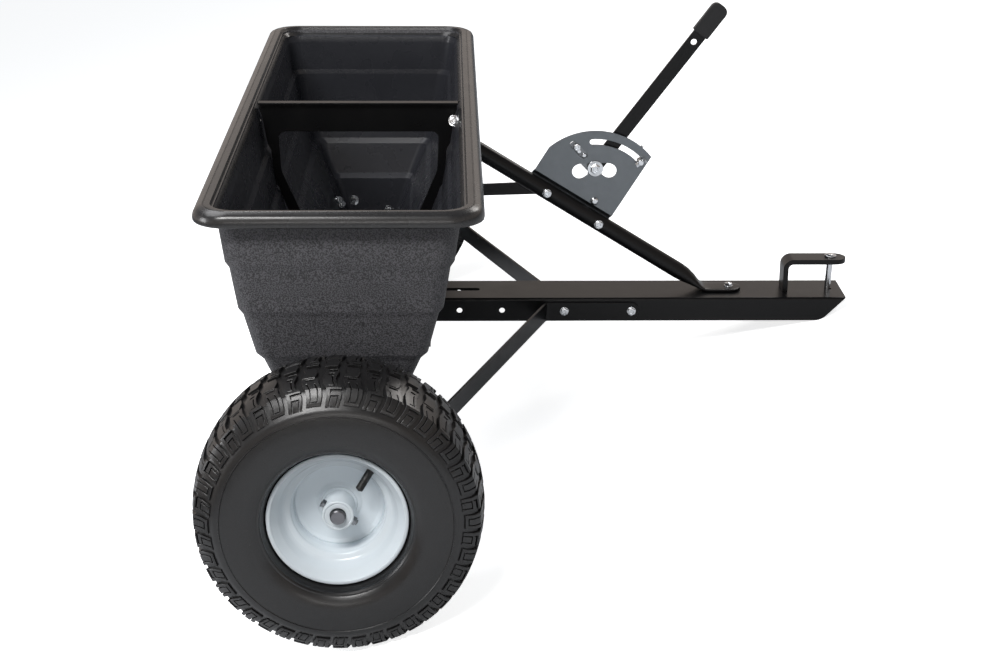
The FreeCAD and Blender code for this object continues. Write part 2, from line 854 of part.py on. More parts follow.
def hitch_pin():
    """Drop pin with a round head and a hole for a clip near its tip."""
    low = bar_top - bar_t - pin_tail
    shank = rod(pin_r, Vector(pin_x, 0, low), Vector(pin_x, 0, strap_top + pin_head_t))
    head = rod(pin_head_r, Vector(pin_x, 0, strap_top),
               Vector(pin_x, 0, strap_top + pin_head_t))
    tip = [e for e in shank.Edges if e.Closed and e.BoundBox.ZMax < low + 1]
    pin = join([shank.makeChamfer(pin_r * 0.3, tip), head])
    return pin.cut(rod_y(1.6, pin_x, low + 7, -2 * pin_r, 2 * pin_r))


def side_brace():
    """Flat bar from the tow bar's far side out to the far end bracket's ear."""
    inner = bar_half_w
    tab_out = bracket_in
    bend_out = tab_out - brace_bar_t
    low = brace_bar_z - brace_bar_h / 2
    high = brace_bar_z + brace_bar_h / 2
    tab_x = ear_x - 4
    bend = math.atan2(tab_out - inner, brace_bend_x - tab_x)
    mitre = brace_bar_t * math.tan(bend / 2)
    outline = [(brace_front_x, inner), (brace_front_x, inner + brace_bar_t),
               (brace_bend_x + mitre, inner + brace_bar_t), (tab_x, tab_out),
               (tab_x - brace_tab_l, tab_out), (tab_x - brace_tab_l, bend_out),
               (tab_x - mitre, bend_out), (brace_bend_x, inner)]
    bar = slab_z(outline, low, high, [0, 0, 8, 8, 0, 0, 4, 4])
    front = slab_y([(0, low - 1), (brace_front_x, low), (brace_front_x, high),
                    (0, high + 1)], inner - 1, tab_out + 1,
                   [0, brace_corner_r, brace_corner_r, 0])
    bar = bar.common(front)
    for x in brace_bolt_xs:
        bar = bar.cut(rod_y(bar_hole_r, x, bar_hole_z, inner - 1, inner + brace_bar_t + 1))
    return bar


def brace_bolts():
    """Two bolts right through the tow bar that hold both side braces."""
    face = bar_half_w + brace_bar_t
    bolts = []
    for x in brace_bolt_xs:
        shank = rod_y(bar_hole_r, x, bar_hole_z, -face - bolt_head_t, face + bolt_head_t)
        heads = [rod_y(bolt_head_r, x, bar_hole_z, -face - bolt_head_t, -face),
                 rod_y(bolt_head_r, x, bar_hole_z, face, face + bolt_head_t)]
        bolts.append(join([shank] + heads))
    return Part.makeCompound(bolts)


def foot_bolt():
    """Bolt through the tube's flat foot and the tow bar's top."""
    low = bar_top - bar_t - bolt_head_t
    high = bar_top + tube_flat_t + bolt_head_t
    x = tube_foot_bolt_x
    shank = rod(bar_hole_r, Vector(x, 0, low), Vector(x, 0, high))
    head = rod(bolt_head_r, Vector(x, 0, high - bolt_head_t), Vector(x, 0, high))
    nut = rod(bolt_head_r, Vector(x, 0, low), Vector(x, 0, low + bolt_head_t))
    return join([shank, head, nut])


# ----------------------------------------------------------------------- support tube
def tube_point(x):
    """Height of the tube's axis at a given X."""
    return tube_low[1] + (x - tube_low[0]) * math.tan(tube_slope)


def support_tube():
    """Tube from the hopper's front wall to the tow bar, its two ends pressed flat."""
    high = Vector(tube_high[0], 0, tube_high[1])
    low = Vector(tube_low[0], 0, tube_low[1])
    middle = rod(tube_r, high, low).cut(rod(tube_r - tube_wall, high, low))
    foot = slab_z([(tube_foot_start, -tube_flat_half), (tube_foot_x, -tube_flat_half),
                   (tube_foot_x, tube_flat_half), (tube_foot_start, tube_flat_half)],
                  bar_top, bar_top + tube_flat_t, [0, 8, 8, 0])
    foot = foot.cut(rod(bar_hole_r, Vector(tube_foot_bolt_x, 0, bar_top - 1),
                        Vector(tube_foot_bolt_x, 0, bar_top + tube_flat_t + 1)))
    tab_z = tube_tab_top - tube_tab_l
    tab_low_x = wall_x(tab_z)
    tab_high_x = wall_x(tube_tab_top)
    tab = slab_y([(tab_low_x, tab_z), (tab_low_x + tube_flat_t, tab_z),
                  (tab_high_x + tube_flat_t, tube_tab_top), (tab_high_x, tube_tab_top)],
                 -tube_flat_half, tube_flat_half)
    low_neck = press(low, tube_dir, [(tube_foot_start, bar_top),
                                     (tube_foot_start + 1, bar_top),
                                     (tube_foot_start + 1, bar_top + tube_flat_t),
                                     (tube_foot_start - 2, bar_top + tube_flat_t)])
    high_neck = press(high, (-tube_dir[0], -tube_dir[1]),
                      [(wall_x(tab_z + 3) + tube_flat_t, tab_z + 3),
                       (wall_x(tab_z + 3), tab_z + 3),
                       (tab_low_x, tab_z - 8), (tab_low_x + 2, tab_z - 12)])
    tube = join([middle, low_neck, high_neck, foot, tab])
    for x in quad_bolt_xs:
        tube = tube.cut(rod_y(bar_hole_r, x, tube_point(x), -2 * tube_r, 2 * tube_r))
    return tube


def press(start, direction, flat_points):
    """Wedge that takes the round tube's end down to a flat, cut from a widening cone."""
    side = Vector(-direction[1], 0, direction[0])
    first = start + side * tube_r
    last = start - side * tube_r
    points = [(last.x, last.z)] + flat_points + [(first.x, first.z)]
    wedge = slab_y(points, -tube_flat_half, tube_flat_half)
    run = Vector(direction[0], 0, direction[1])
    cone = Part.makeCone(tube_r, tube_r * 3.4, tube_r * 4.5, start, run)
    return wedge.common(cone)


# ------------------------------------------------------- quadrant, lever and linkage
def beside_tube(x, offset):
    """Point at an offset square to the tube's axis, up and forward."""
    z = tube_point(x)
    return (x - tube_dir[1] * offset, z + tube_dir[0] * offset)


def quadrant():
    """Slotted plate, joggled at its lower edge to lie behind the tube."""
    top_a = on_quadrant(quad_r, quad_front_angle)
    top_b = on_quadrant(quad_r, (quad_front_angle + quad_rear_angle) / 2)
    top_c = on_quadrant(quad_r, quad_rear_angle)

    def foot(corner, offset):
        along = (corner[0] - tube_low[0]) * tube_dir[0] + (corner[1] - tube_low[1]) * tube_dir[1]
        x = tube_low[0] + along * tube_dir[0]
        return beside_tube(x, offset)

    def sheet(corners, y0):
        return slab_y(corners, y0, y0 + quad_t)

    near_r = foot(top_a, joggle_near)
    near_l = foot(top_c, joggle_near)
    far_r = foot(top_a, joggle_far)
    far_l = foot(top_c, joggle_far)
    end_r = foot(top_a, -tube_r)
    end_l = foot(top_c, -tube_r)
    y0 = quad_y
    edges = [Part.Arc(*[Vector(x, y0, z) for x, z in (top_a, top_b, top_c)]).toShape(),
             Part.makeLine(Vector(top_c[0], y0, top_c[1]), Vector(near_l[0], y0, near_l[1])),
             Part.makeLine(Vector(near_l[0], y0, near_l[1]), Vector(near_r[0], y0, near_r[1])),
             Part.makeLine(Vector(near_r[0], y0, near_r[1]), Vector(top_a[0], y0, top_a[1]))]
    upper = Part.Face(Part.Wire(edges)).extrude(Vector(0, quad_t, 0))
    lower = sheet([far_r, far_l, end_l, end_r], tube_r)
    slope = []
    for a, b, y in ((near_r, near_l, quad_y), (far_r, far_l, tube_r)):
        slope.append(Part.makePolygon([Vector(a[0], y, a[1]), Vector(b[0], y, b[1]),
                                       Vector(b[0], y + quad_t, b[1]),
                                       Vector(a[0], y + quad_t, a[1]),
                                       Vector(a[0], y, a[1])]))
    joggle = Part.makeLoft(slope, True, True)
    plate = join([upper, joggle, lower])
    span = (quad_y - 1, tube_r + quad_t + 1)
    waist = arc_slot(guide_slot_r, guide_front_angle, guide_rear_angle, guide_waist, *span)
    lobes = [rod_y(guide_lobe_r, *on_quadrant(guide_lobe_at, a), *span)
             for a in (guide_front_angle, guide_rear_angle)]
    cuts = [arc_slot(stop_slot_r, stop_front_angle, stop_rear_angle, stop_slot_half, *span),
            waist, lobes[0], lobes[1],
            bar_y(arm_slot_a, arm_slot_b, arm_slot_half, *span),
            rod_y(pivot_r + running_fit, pivot_x, pivot_z, *span)]
    for x in quad_bolt_xs:
        cuts.append(rod_y(bar_hole_r, x, tube_point(x), *span))
    for cutter in cuts:
        plate = plate.cut(cutter)
    return plate


def quadrant_bolts():
    """Two bolts through tube and quadrant, with low round caps behind."""
    bolts = []
    for x in quad_bolt_xs:
        z = tube_point(x)
        back = tube_r + quad_t
        shank = rod_y(bar_hole_r, x, z, -tube_r - bolt_head_t, back + bolt_cap_t)
        head = rod_y(bolt_head_r, x, z, -tube_r - bolt_head_t, -tube_r)
        cap = rod_y(bolt_head_r, x, z, back, back + bolt_cap_t)
        bolts.append(join([shank, head, cap]))
    return Part.makeCompound(bolts)


def stop_bolt():
    """Thumb bolt that sets the lever's stop in the outer slot."""
    x, z = on_quadrant(stop_slot_r, stop_front_angle)
    shank = rod_y(stop_bolt_r, x, z, quad_y - 12, lever_y + lever_t)
    knob = rod_y(stop_knob_r, x, z, quad_y - 12, quad_y)
    nut = rod_y(6.5, x, z, quad_back, lever_y + lever_t)
    return join([shank, knob, nut])


def lever():
    """Bent flat bar that turns about the quadrant's pivot."""
    turn = math.radians(lever_angle)
    run = (math.cos(turn), math.sin(turn))
    tip = (knee_x + run[0] * (grip_end - 12), knee_z + run[1] * (grip_end - 12))
    hole = (knee_x + run[0] * lever_hole_t, knee_z + run[1] * lever_hole_t)
    low = bar_y((pivot_x, pivot_z), (knee_x, knee_z), lever_half_w, lever_y,
                lever_y + lever_t)
    high = bar_y((knee_x, knee_z), tip, lever_half_w, lever_y, lever_y + lever_t)
    span = (lever_y - 1, lever_y + lever_t + 1)
    bar = join([low, high])
    bar = bar.cut(rod_y(lever_hole_r, *hole, *span))
    bar = bar.cut(rod_y(pivot_r + running_fit, pivot_x, pivot_z, *span))
    bar = bar.cut(rod_y(guide_bolt_r, knee_x, knee_z, *span))
    return bar.cut(rod_y(link_pin_r, pivot_x, pivot_z + link_up, *span))


def lever_grip():
    """Moulded sleeve on the lever's end."""
    turn = math.radians(lever_angle)
    run = (math.cos(turn), math.sin(turn))
    side = (-run[1] * grip_half_w, run[0] * grip_half_w)
    a = (knee_x + run[0] * grip_start, knee_z + run[1] * grip_start)
    b = (knee_x + run[0] * grip_end, knee_z + run[1] * grip_end)
    points = [(a[0] + side[0], a[1] + side[1]), (a[0] - side[0], a[1] - side[1]),
              (b[0] - side[0], b[1] - side[1]), (b[0] + side[0], b[1] + side[1])]
    middle = lever_y + lever_t / 2
    body = slab_y(points, middle - grip_t / 2, middle + grip_t / 2, [2, 2, 10, 10])
    return body.cut(lever())


def pivot_bolt():
    """Bolt at the lever's pivot, fixed in the quadrant plate."""
    shank = rod_y(pivot_r, pivot_x, pivot_z, quad_y - 5, lever_y + lever_t + 0.5)
    head = rod_y(6.5, pivot_x, pivot_z, quad_y - 5, quad_y)
    return join([shank, head])


def guide_bolt():
    """Bolt in the lever's knee that rides in the quadrant's inner slot."""
    shank = rod_y(guide_bolt_r, knee_x, knee_z, quad_y - 9, lever_y + lever_t)
    washer = rod_y(guide_washer_r, knee_x, knee_z, quad_y - 2.5, quad_y - layer_gap)
    head = rod_y(8.5, knee_x, knee_z, quad_y - 9, quad_y - 2.5)
    return join([shank, washer, head])


def index_arm():
    """Small plate clamped on the lever by the guide bolt, behind the quadrant."""
    turn = math.radians(arm_angle)
    end = (knee_x + arm_l * math.cos(turn), knee_z + arm_l * math.sin(turn))
    arm = bar_y((knee_x, knee_z), end, arm_half_w, arm_y, arm_y + arm_t)
    return arm.cut(rod_y(guide_bolt_r, knee_x, knee_z, arm_y - 1, arm_y + arm_t + 1))


def flow_link():
    """Flat bar from the lever back to the rocker."""
    front = (pivot_x, pivot_z + link_up)
    bar = bar_y(link_rear, front, link_half_h, link_y, link_y + link_t)
    span = (link_y - 1, link_y + link_t + 1)
    bar = bar.cut(rod_y(link_pin_r + running_fit, *front, *span))
    return bar.cut(rod_y(link_pin_r + link_slack, *link_rear, *span))


def link_pin():
    """Pin fixed in the lever that carries the link's front end."""
    x = pivot_x
    z = pivot_z + link_up
    shank = rod_y(link_pin_r, x, z, lever_y, link_y + link_t + 3)
    collar_ring = rod_y(6.5, x, z, lever_y + lever_t, link_y - layer_gap)
    head = rod_y(6.5, x, z, link_y + link_t + layer_gap, link_y + link_t + 3)
    return join([shank, collar_ring, head])


def rocker():
    """Two-armed lever on one hub: the upper arm meets the link, the lower the shutter."""
    hub_tube = rod_y(rocker_hub_r, *rocker_pivot, -rocker_t / 2, rocker_y + rocker_t)
    upper = bar_y(rocker_pivot, link_rear, rocker_half_w, rocker_y, rocker_y + rocker_t)
    lower = bar_y(rocker_pivot, rocker_low, rocker_half_w, -rocker_t / 2, rocker_t / 2)
    body = join([hub_tube, upper, lower])
    body = body.cut(rod_y(rocker_pin_r + running_fit, *rocker_pivot, -20, 60))
    top_pin = rod_y(link_pin_r, *link_rear, link_y - 2, rocker_y + rocker_t)
    low_pin = rod_y(rocker_pin_r, *rocker_low, -rocker_t / 2, rocker_t / 2 + bar_t + 2)
    return join([body, top_pin, low_pin])


def rocker_bracket():
    """Two ears on the tow bar that carry the rocker's pin."""
    near_y = -rod_slot_half - 1 - ear_t
    far_y = rocker_y + rocker_t + 1
    ears = []
    for y in (near_y, far_y):
        x, z = rocker_pivot
        plate = box(x - ear_half_w, x + ear_half_w, y, y + ear_t, bar_top, z)
        ear = join([plate, rod_y(ear_half_w, x, z, y, y + ear_t)])
        ears.append(ear.cut(rod_y(rocker_pin_r, x, z, y - 1, y + ear_t + 1)))
    return Part.makeCompound(ears)


def rocker_pin():
    """Pin through the two ears and the rocker's hub."""
    near_y = -rod_slot_half - 1 - ear_t
    far_y = rocker_y + rocker_t + 1 + ear_t
    shank = rod_y(rocker_pin_r, *rocker_pivot, near_y - 3, far_y + 3)
    heads = [rod_y(rocker_pin_r * 1.5, *rocker_pivot, near_y - 3, near_y),
             rod_y(rocker_pin_r * 1.5, *rocker_pivot, far_y, far_y + 3)]
    return join([shank] + heads)


# ------------------------------------------------------------------------ park pose
def park_angle():
    """Nose-down angle, in degrees, at which the tow bar's rounded nose is on the floor."""
    rise = math.radians(nose_angle)
    nose_x = bar_tip - 2
    corner_x = nose_x - (bar_top - 2 - bar_bottom) / math.tan(rise)
    arc_x = corner_x - nose_r * math.tan(rise / 2)
    arc_z = bar_bottom + nose_r - axle_z
    reach = math.hypot(arc_x, arc_z)
    lean = math.atan2(arc_z, arc_x)
    return math.degrees(math.asin((axle_z - nose_r) / reach) + lean)


def parked(shape, angle, shift):
    """The shape turned nose down about the axle and moved over the origin."""
    shape = shape.copy()
    shape.rotate(Vector(0, 0, axle_z), Vector(0, 1, 0), angle)
    shape.translate(Vector(-shift, 0, 0))
    return shape


# --------------------------------------------------------------------- build, export
near_hub = hub(-track_half, axle_r)
near_bolt_y = -hub_face + cross_bolt_inset
bolt_hole = cross_hole(near_bolt_y)
far_bracket = end_bracket()
far_bearing = axle_bearing()
far_collar = collar(bracket_out + bracket_t + collar_gap)
far_agitator = agitator()
far_brace = side_brace()
near_tyre = tyre(-track_half)
far_tyre = near_tyre.copy()
far_tyre.translate(Vector(0, 2 * track_half, 0))

nodes = {
    "hopper_shell": hopper_shell(),
    "centre_brace": centre_brace(),
    "floor_plate": floor_plate(),
    "guide_straps": guide_straps(),
    "end_bracket_far": far_bracket,
    "end_bracket_near": mirror_y(far_bracket),
    "axle_bearing_far": far_bearing,
    "axle_bearing_near": mirror_y(far_bearing),
    "tow_bar": tow_bar(),
    "bar_mount": bar_mount(),
    "hitch_strap": hitch_strap(),
    "side_brace_far": far_brace,
    "side_brace_near": mirror_y(far_brace),
    "brace_bolts": brace_bolts(),
    "foot_bolt": foot_bolt(),
    "support_tube": support_tube(),
    "quadrant_plate": quadrant(),
    "quadrant_bolts": quadrant_bolts(),
    "stop_bolt": stop_bolt(),
    "pivot_bolt": pivot_bolt(),
    "rocker_bracket": rocker_bracket(),
    "rocker_pin": rocker_pin(),
    "hitch_pin": hitch_pin(),
    "axle": axle().cut(bolt_hole),
    "axle_collar_far": far_collar,
    "axle_collar_near": mirror_y(far_collar),
    "agitator_far": far_agitator,
    "agitator_near": mirror_y(far_agitator),
    "wheel_hub_near": near_hub.cut(bolt_hole),
    "wheel_rim_near": rim(-track_half, -1),
    "tyre_near": near_tyre,
    "valve_near": valve(-track_half, -1),
    "cross_bolt": cross_bolt(near_bolt_y),
    "wheel_retainers": wheel_retainers(),
    "wheel_hub_far": hub(track_half, axle_r + running_fit),
    "wheel_rim_far": rim(track_half, 1),
    "tyre_far": far_tyre,
    "valve_far": valve(track_half, 1),
    "lever": lever(),
    "lever_grip": lever_grip(),
    "guide_bolt": guide_bolt(),
    "index_arm": index_arm(),
    "link_pin": link_pin(),
    "flow_link": flow_link(),
    "rocker": rocker(),
    "shutter": shutter(),
}

os.makedirs("parts", exist_ok=True)
tilt = park_angle()
turn = math.radians(tilt)
front = strap_end * math.cos(turn) + (strap_top - axle_z) * math.sin(turn)
middle_x = (front - tyre_r) / 2
for name, shape in nodes.items():
    placed = parked(shape, tilt, middle_x)
    placed.exportStep("parts/" + name + ".step")
    print(name, len(placed.Solids), round(placed.Volume / 1000, 1), placed.isValid())
print("park angle", round(tilt, 3), "middle x", round(middle_x, 2))
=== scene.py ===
# %% [markdown]
# # A pull-type spreader, dressed
#
# A pull-type spreader is a long plastic hopper carried between two turf tyres, with a
# steel tow bar, a slotted quadrant plate and a hand lever in front of it.  The maker's
# drawing of it is already solid and its joints already work, so this lesson adds what a
# drawing leaves out: rolled edges, tread, bolts, paint, plating and rubber.  Loading the
# drawing first, as a fixed frame, means that nothing below ever has to be fitted to it.

# %% Load the drawing
import json
import math

import bmesh
import bpy
from mathutils import Matrix, Vector


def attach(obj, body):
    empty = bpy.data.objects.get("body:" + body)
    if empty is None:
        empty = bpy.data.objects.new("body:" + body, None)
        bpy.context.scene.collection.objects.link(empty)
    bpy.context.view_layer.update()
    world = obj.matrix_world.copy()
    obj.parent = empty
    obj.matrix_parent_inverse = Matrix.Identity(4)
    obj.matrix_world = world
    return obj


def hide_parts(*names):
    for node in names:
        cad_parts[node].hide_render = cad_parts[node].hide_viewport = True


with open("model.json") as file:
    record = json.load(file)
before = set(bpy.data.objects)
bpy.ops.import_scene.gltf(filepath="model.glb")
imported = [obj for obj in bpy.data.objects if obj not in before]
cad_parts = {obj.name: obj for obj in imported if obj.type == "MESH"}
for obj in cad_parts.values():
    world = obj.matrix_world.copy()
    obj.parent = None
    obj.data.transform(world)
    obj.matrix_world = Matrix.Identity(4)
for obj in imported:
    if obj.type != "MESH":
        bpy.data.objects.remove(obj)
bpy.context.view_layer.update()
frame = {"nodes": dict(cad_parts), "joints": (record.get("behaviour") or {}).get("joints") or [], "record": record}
joints = {joint["name"]: joint for joint in frame["joints"]}

# %% [markdown]
# ## Machine coordinates
#
# The machine is stored as it parks, nose down on the floor, so its long edges run along
# no axis.  Everything could be drawn tilted, but sloping numbers are hard to read and
# easy to get wrong.  Instead each piece is drawn level in millimetres from the middle of
# the axle, X forward to the hitch, Y along the axle and Z up, and one matrix parks it.
# The shutter slides along the level machine's X, so its joint gives the angle.

# %% The matrix that parks a piece
forward = Vector(joints["shutter_travel"]["axis"])
axle_at = Vector(joints["axle_spin"]["pos_m"])
nose_down = math.atan2(-forward.z, forward.x)
park = Matrix.Translation(axle_at) @ Matrix.Rotation(nose_down, 4, "Y")
machine = park @ Matrix.Scale(0.001, 4)
to_machine = machine.inverted()


def level_box(node):
    """Lowest and highest corner of a node in machine coordinates, in millimetres."""
    points = [to_machine @ v.co for v in frame["nodes"][node].data.vertices]
    low = Vector([min(p[i] for p in points) for i in range(3)])
    high = Vector([max(p[i] for p in points) for i in range(3)])
    return low, high


print("parked nose down by", round(math.degrees(nose_down), 2), "degrees")

# %% [markdown]
# ## Floor, camera and light
#
# A catalogue shows a garden machine on plain white.  A white backdrop could come from
# very strong lamps, but they would bleach the wheels.  Here the lamps stay at a plain
# level, and the floor and the sky answer with white to the camera and to glass only.
# Gloss sees a pale wall that darkens upwards, and the floor keeps the machine's shadow.
# The camera stands beside the near wheel, looks slightly down, and is tipped with the
# machine, so that the machine is level in the view, as it is when it is towed.


# %% Node helpers
def node_tree(owner):
    """An emptied node tree of a material or a world."""
    owner.use_nodes = True
    owner.node_tree.nodes.clear()
    return owner.node_tree


def add(tree, kind, **values):
    """One node.  Values named in_0, in_1 and so on go to its inputs."""
    node = tree.nodes.new(kind)
    for name, value in values.items():
        if name.startswith("in_"):
            node.inputs[int(name[3:])].default_value = value
        else:
            setattr(node, name, value)
    return node


def wire(tree, out_socket, in_socket):
    """Joins an output to an input."""
    tree.links.new(out_socket, in_socket)


def by_ray(tree, plain, gloss, seen):
    """Mixes three shaders: for light, for reflections, and for what is looked at."""
    path = add(tree, "ShaderNodeLightPath")
    looked = add(tree, "ShaderNodeMath", operation="MAXIMUM")
    first = add(tree, "ShaderNodeMixShader")
    second = add(tree, "ShaderNodeMixShader")
    wire(tree, path.outputs["Is Camera Ray"], looked.inputs[0])
    wire(tree, path.outputs["Is Transmission Ray"], looked.inputs[1])
    wire(tree, path.outputs["Is Glossy Ray"], first.inputs[0])
    wire(tree, plain, first.inputs[1])
    wire(tree, gloss, first.inputs[2])
    wire(tree, looked.outputs[0], second.inputs[0])
    wire(tree, first.outputs[0], second.inputs[1])
    wire(tree, seen, second.inputs[2])
    return second.outputs[0]


print("node helpers ready")

# %% Sky
scene = bpy.context.scene
scene.view_settings.view_transform = "Standard"
sky = bpy.data.worlds.new("soft sky")
scene.world = sky
tree = node_tree(sky)
ambient_level = 0.14
ambient = add(tree, "ShaderNodeBackground", in_0=(0.8, 0.9, 1.0, 1), in_1=ambient_level)
backdrop = add(tree, "ShaderNodeBackground", in_0=(1.0, 1.0, 1.0, 1), in_1=1.0)
place = add(tree, "ShaderNodeTexCoord")
parts = add(tree, "ShaderNodeSeparateXYZ")
height = add(tree, "ShaderNodeValToRGB")
height.color_ramp.elements[0].color = (0.62, 0.55, 0.5, 1)
height.color_ramp.elements[1].color = (0.1, 0.1, 0.11, 1)
height.color_ramp.elements[0].position = 0.25
height.color_ramp.elements[1].position = 0.7
room = add(tree, "ShaderNodeBackground", in_1=1.0)
end = add(tree, "ShaderNodeOutputWorld")
wire(tree, place.outputs["Generated"], parts.inputs[0])
wire(tree, parts.outputs["Z"], height.inputs[0])
wire(tree, height.outputs[0], room.inputs[0])
mixed = by_ray(tree, ambient.outputs[0], room.outputs[0], backdrop.outputs[0])
wire(tree, mixed, end.inputs[0])
print("sky: white backdrop, ambient light", ambient_level, "and a warm pale wall for gloss")

# %% Floor
floor_half = 30.0
bm = bmesh.new()
bmesh.ops.create_grid(bm, x_segments=1, y_segments=1, size=floor_half)
floor_mesh = bpy.data.meshes.new("floor")
bm.to_mesh(floor_mesh)
bm.free()
floor = bpy.data.objects.new("floor", floor_mesh)
scene.collection.objects.link(floor)
paper = bpy.data.materials.new("studio paper")
floor_mesh.materials.append(paper)
tree = node_tree(paper)
fibre = add(tree, "ShaderNodeTexNoise", in_2=40.0)
place = add(tree, "ShaderNodeTexCoord")
pale = add(tree, "ShaderNodeMapRange", in_3=0.22, in_4=0.26)
plain = add(tree, "ShaderNodeBsdfDiffuse")
dim = add(tree, "ShaderNodeBsdfDiffuse", in_0=(0.75, 0.76, 0.78, 1))
white = add(tree, "ShaderNodeBsdfDiffuse", in_0=(1, 1, 1, 1))
lift = add(tree, "ShaderNodeEmission", in_0=(1, 1, 1, 1), in_1=0.8)
bright = add(tree, "ShaderNodeAddShader")
end = add(tree, "ShaderNodeOutputMaterial")
wire(tree, place.outputs["Object"], fibre.inputs["Vector"])
wire(tree, fibre.outputs[0], pale.inputs[0])
wire(tree, pale.outputs[0], plain.inputs[0])
wire(tree, white.outputs[0], bright.inputs[0])
wire(tree, lift.outputs[0], bright.inputs[1])
mixed = by_ray(tree, plain.outputs[0], dim.outputs[0], bright.outputs[0])
wire(tree, mixed, end.inputs[0])
print("floor:", 2 * floor_half, "m across")

# %% Camera
camera_at = Vector((138.7, -2953.0, 1044.2))
look = Vector((0.02597, 0.94163, -0.33566))
across = Vector((0.99966, -0.02526, 0.00647))
lens_mm = 70.51
camera_data = bpy.data.cameras.new("camera")
camera_data.lens = lens_mm
camera_data.sensor_width = 36.0
camera = bpy.data.objects.new("camera", camera_data)
scene.collection.objects.link(camera)
look.normalize()
upward = across.cross(look).normalized()
across = look.cross(upward)
turn = Matrix((across, upward, -look)).transposed().to_4x4()
camera.matrix_world = park @ Matrix.Translation(camera_at * 0.001) @ turn
scene.camera = camera
print("camera:", lens_mm, "mm lens,", round(camera_at.length), "mm from the axle")


# %% Lamps
def softbox(name, at, aim, width, height, watts, tint):
    """A rectangular lamp in room coordinates, in metres, pointed at a spot."""
    data = bpy.data.lights.new(name, "AREA")
    data.shape = "RECTANGLE"
    data.size = width
    data.size_y = height
    data.energy = watts
    data.color = tint
    lamp = bpy.data.objects.new(name, data)
    scene.collection.objects.link(lamp)
    lamp.location = at
    lamp.rotation_euler = (Vector(aim) - Vector(at)).to_track_quat("-Z", "Y").to_euler()
    return lamp


softbox("top box", (-0.6, 0.1, 2.5), (-0.1, -0.1, 0.3), 2.4, 1.1, 36, (0.98, 0.98, 1.0))
softbox("left box", (-2.2, -0.9, 1.3), (-0.2, -0.5, 0.3), 0.7, 0.9, 20, (0.97, 0.98, 1.0))
softbox("front key", (-0.5, -2.4, 2.6), (0, -0.6, 0.3), 1.3, 0.6, 66, (1.0, 0.99, 0.98))
softbox("low front strip", (0.0, -3.4, 0.95), (0, -0.6, 0.4), 1.7, 0.22, 8, (1.0, 1.0, 1.0))
softbox("far side fill", (2.0, 2.2, 1.9), (0.1, 0.2, 0.3), 1.2, 0.8, 20, (1.0, 0.97, 0.94))
print("lamps: 5 soft boxes")

# %% [markdown]
# ## Turning a drawing in bmesh into a piece
#
# A piece is drawn with bmesh operators in machine coordinates.  Handing it over is the
# same work each time: park it, name it, give it its finish, let it ride on the body
# that carries it and hide the drawn solid that it stands for.
# Doing this in one place keeps every object at the origin, unturned and unscaled.


# %% Hand a bmesh over
def piece(name, bm, body, finish, stands_for=(), sharp=35):
    """Makes the drawn bmesh an object.  finish is one material or several."""
    bmesh.ops.transform(bm, matrix=machine, verts=bm.verts)
    mesh = bpy.data.meshes.new(name)
    bm.to_mesh(mesh)
    bm.free()
    for material in finish if isinstance(finish, (list, tuple)) else [finish]:
        mesh.materials.append(material)
    mesh.polygons.foreach_set("use_smooth", [True] * len(mesh.polygons))
    mesh.set_sharp_from_angle(angle=math.radians(sharp))
    made = bpy.data.objects.new(name, mesh)
    scene.collection.objects.link(made)
    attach(made, body)
    if stands_for:
        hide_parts(*stands_for)
    return made


def even_normals(made):
    """Keeps large faces flat beside small rounded edges."""
    shade = made.modifiers.new("even normals", "WEIGHTED_NORMAL")
    shade.keep_sharp = True
    return made


print("hand-over ready")

# %% [markdown]
# ## Breaking the edges of sheet and bar
#
# Cut sheet, bar and moulded parts are never knife sharp: tumbling and paint leave a
# half-millimetre round that catches the light.  The drawn solids are sharp.  They could
# be remodelled one by one, but where the drawn shape is right it is quicker and safer to
# copy it, merge its loose triangles back into whole faces and bevel what is still sharp.


# %% Soften a drawn solid
long_fold = 200.0
panel_area = 5000.0


def round_off(bm, edges, width, segments=2, clamp=True):
    """Bevels edges to a round of this width.  Their faces keep their material."""
    bmesh.ops.bevel(bm, geom=edges, offset=width, offset_type="OFFSET", affect="EDGES",
                    segments=segments, profile=0.5, clamp_overlap=clamp, material=-1)


def sharp_edges(bm, sharp):
    """Edges between two faces that meet at more than an angle in degrees."""
    return [e for e in bm.edges
            if len(e.link_faces) == 2 and e.calc_face_angle() > math.radians(sharp)]


def softened(node, body, finish, edge=0.5, sharp=35, segments=2, move=None,
             fold=0.0):
    """A copy of a drawn solid with whole faces, softly broken edges and round folds."""
    bm = bmesh.new()
    bm.from_mesh(frame["nodes"][node].data)
    bmesh.ops.transform(bm, matrix=to_machine, verts=bm.verts)
    bmesh.ops.remove_doubles(bm, verts=bm.verts, dist=0.002)
    bmesh.ops.dissolve_limit(bm, angle_limit=math.radians(0.6), verts=bm.verts,
                             edges=bm.edges, use_dissolve_boundaries=False)
    if move:
        move(bm)
    if fold:
        folds = [e for e in sharp_edges(bm, sharp)
                 if e.calc_length() > long_fold and e.calc_face_angle_signed() > 0
                 and min(f.calc_area() for f in e.link_faces) > panel_area]
        round_off(bm, folds, fold, segments=5)
    round_off(bm, sharp_edges(bm, sharp), edge, segments)
    return even_normals(piece(node + "_soft", bm, body, finish, [node], sharp))


body_of = {n: body for body, nodes in frame["record"]["behaviour"]["bodies"].items()
           for n in nodes}
slot_of = {name: node.data.materials[0].name for name, node in frame["nodes"].items()}
print("softener ready for", len(body_of), "nodes")
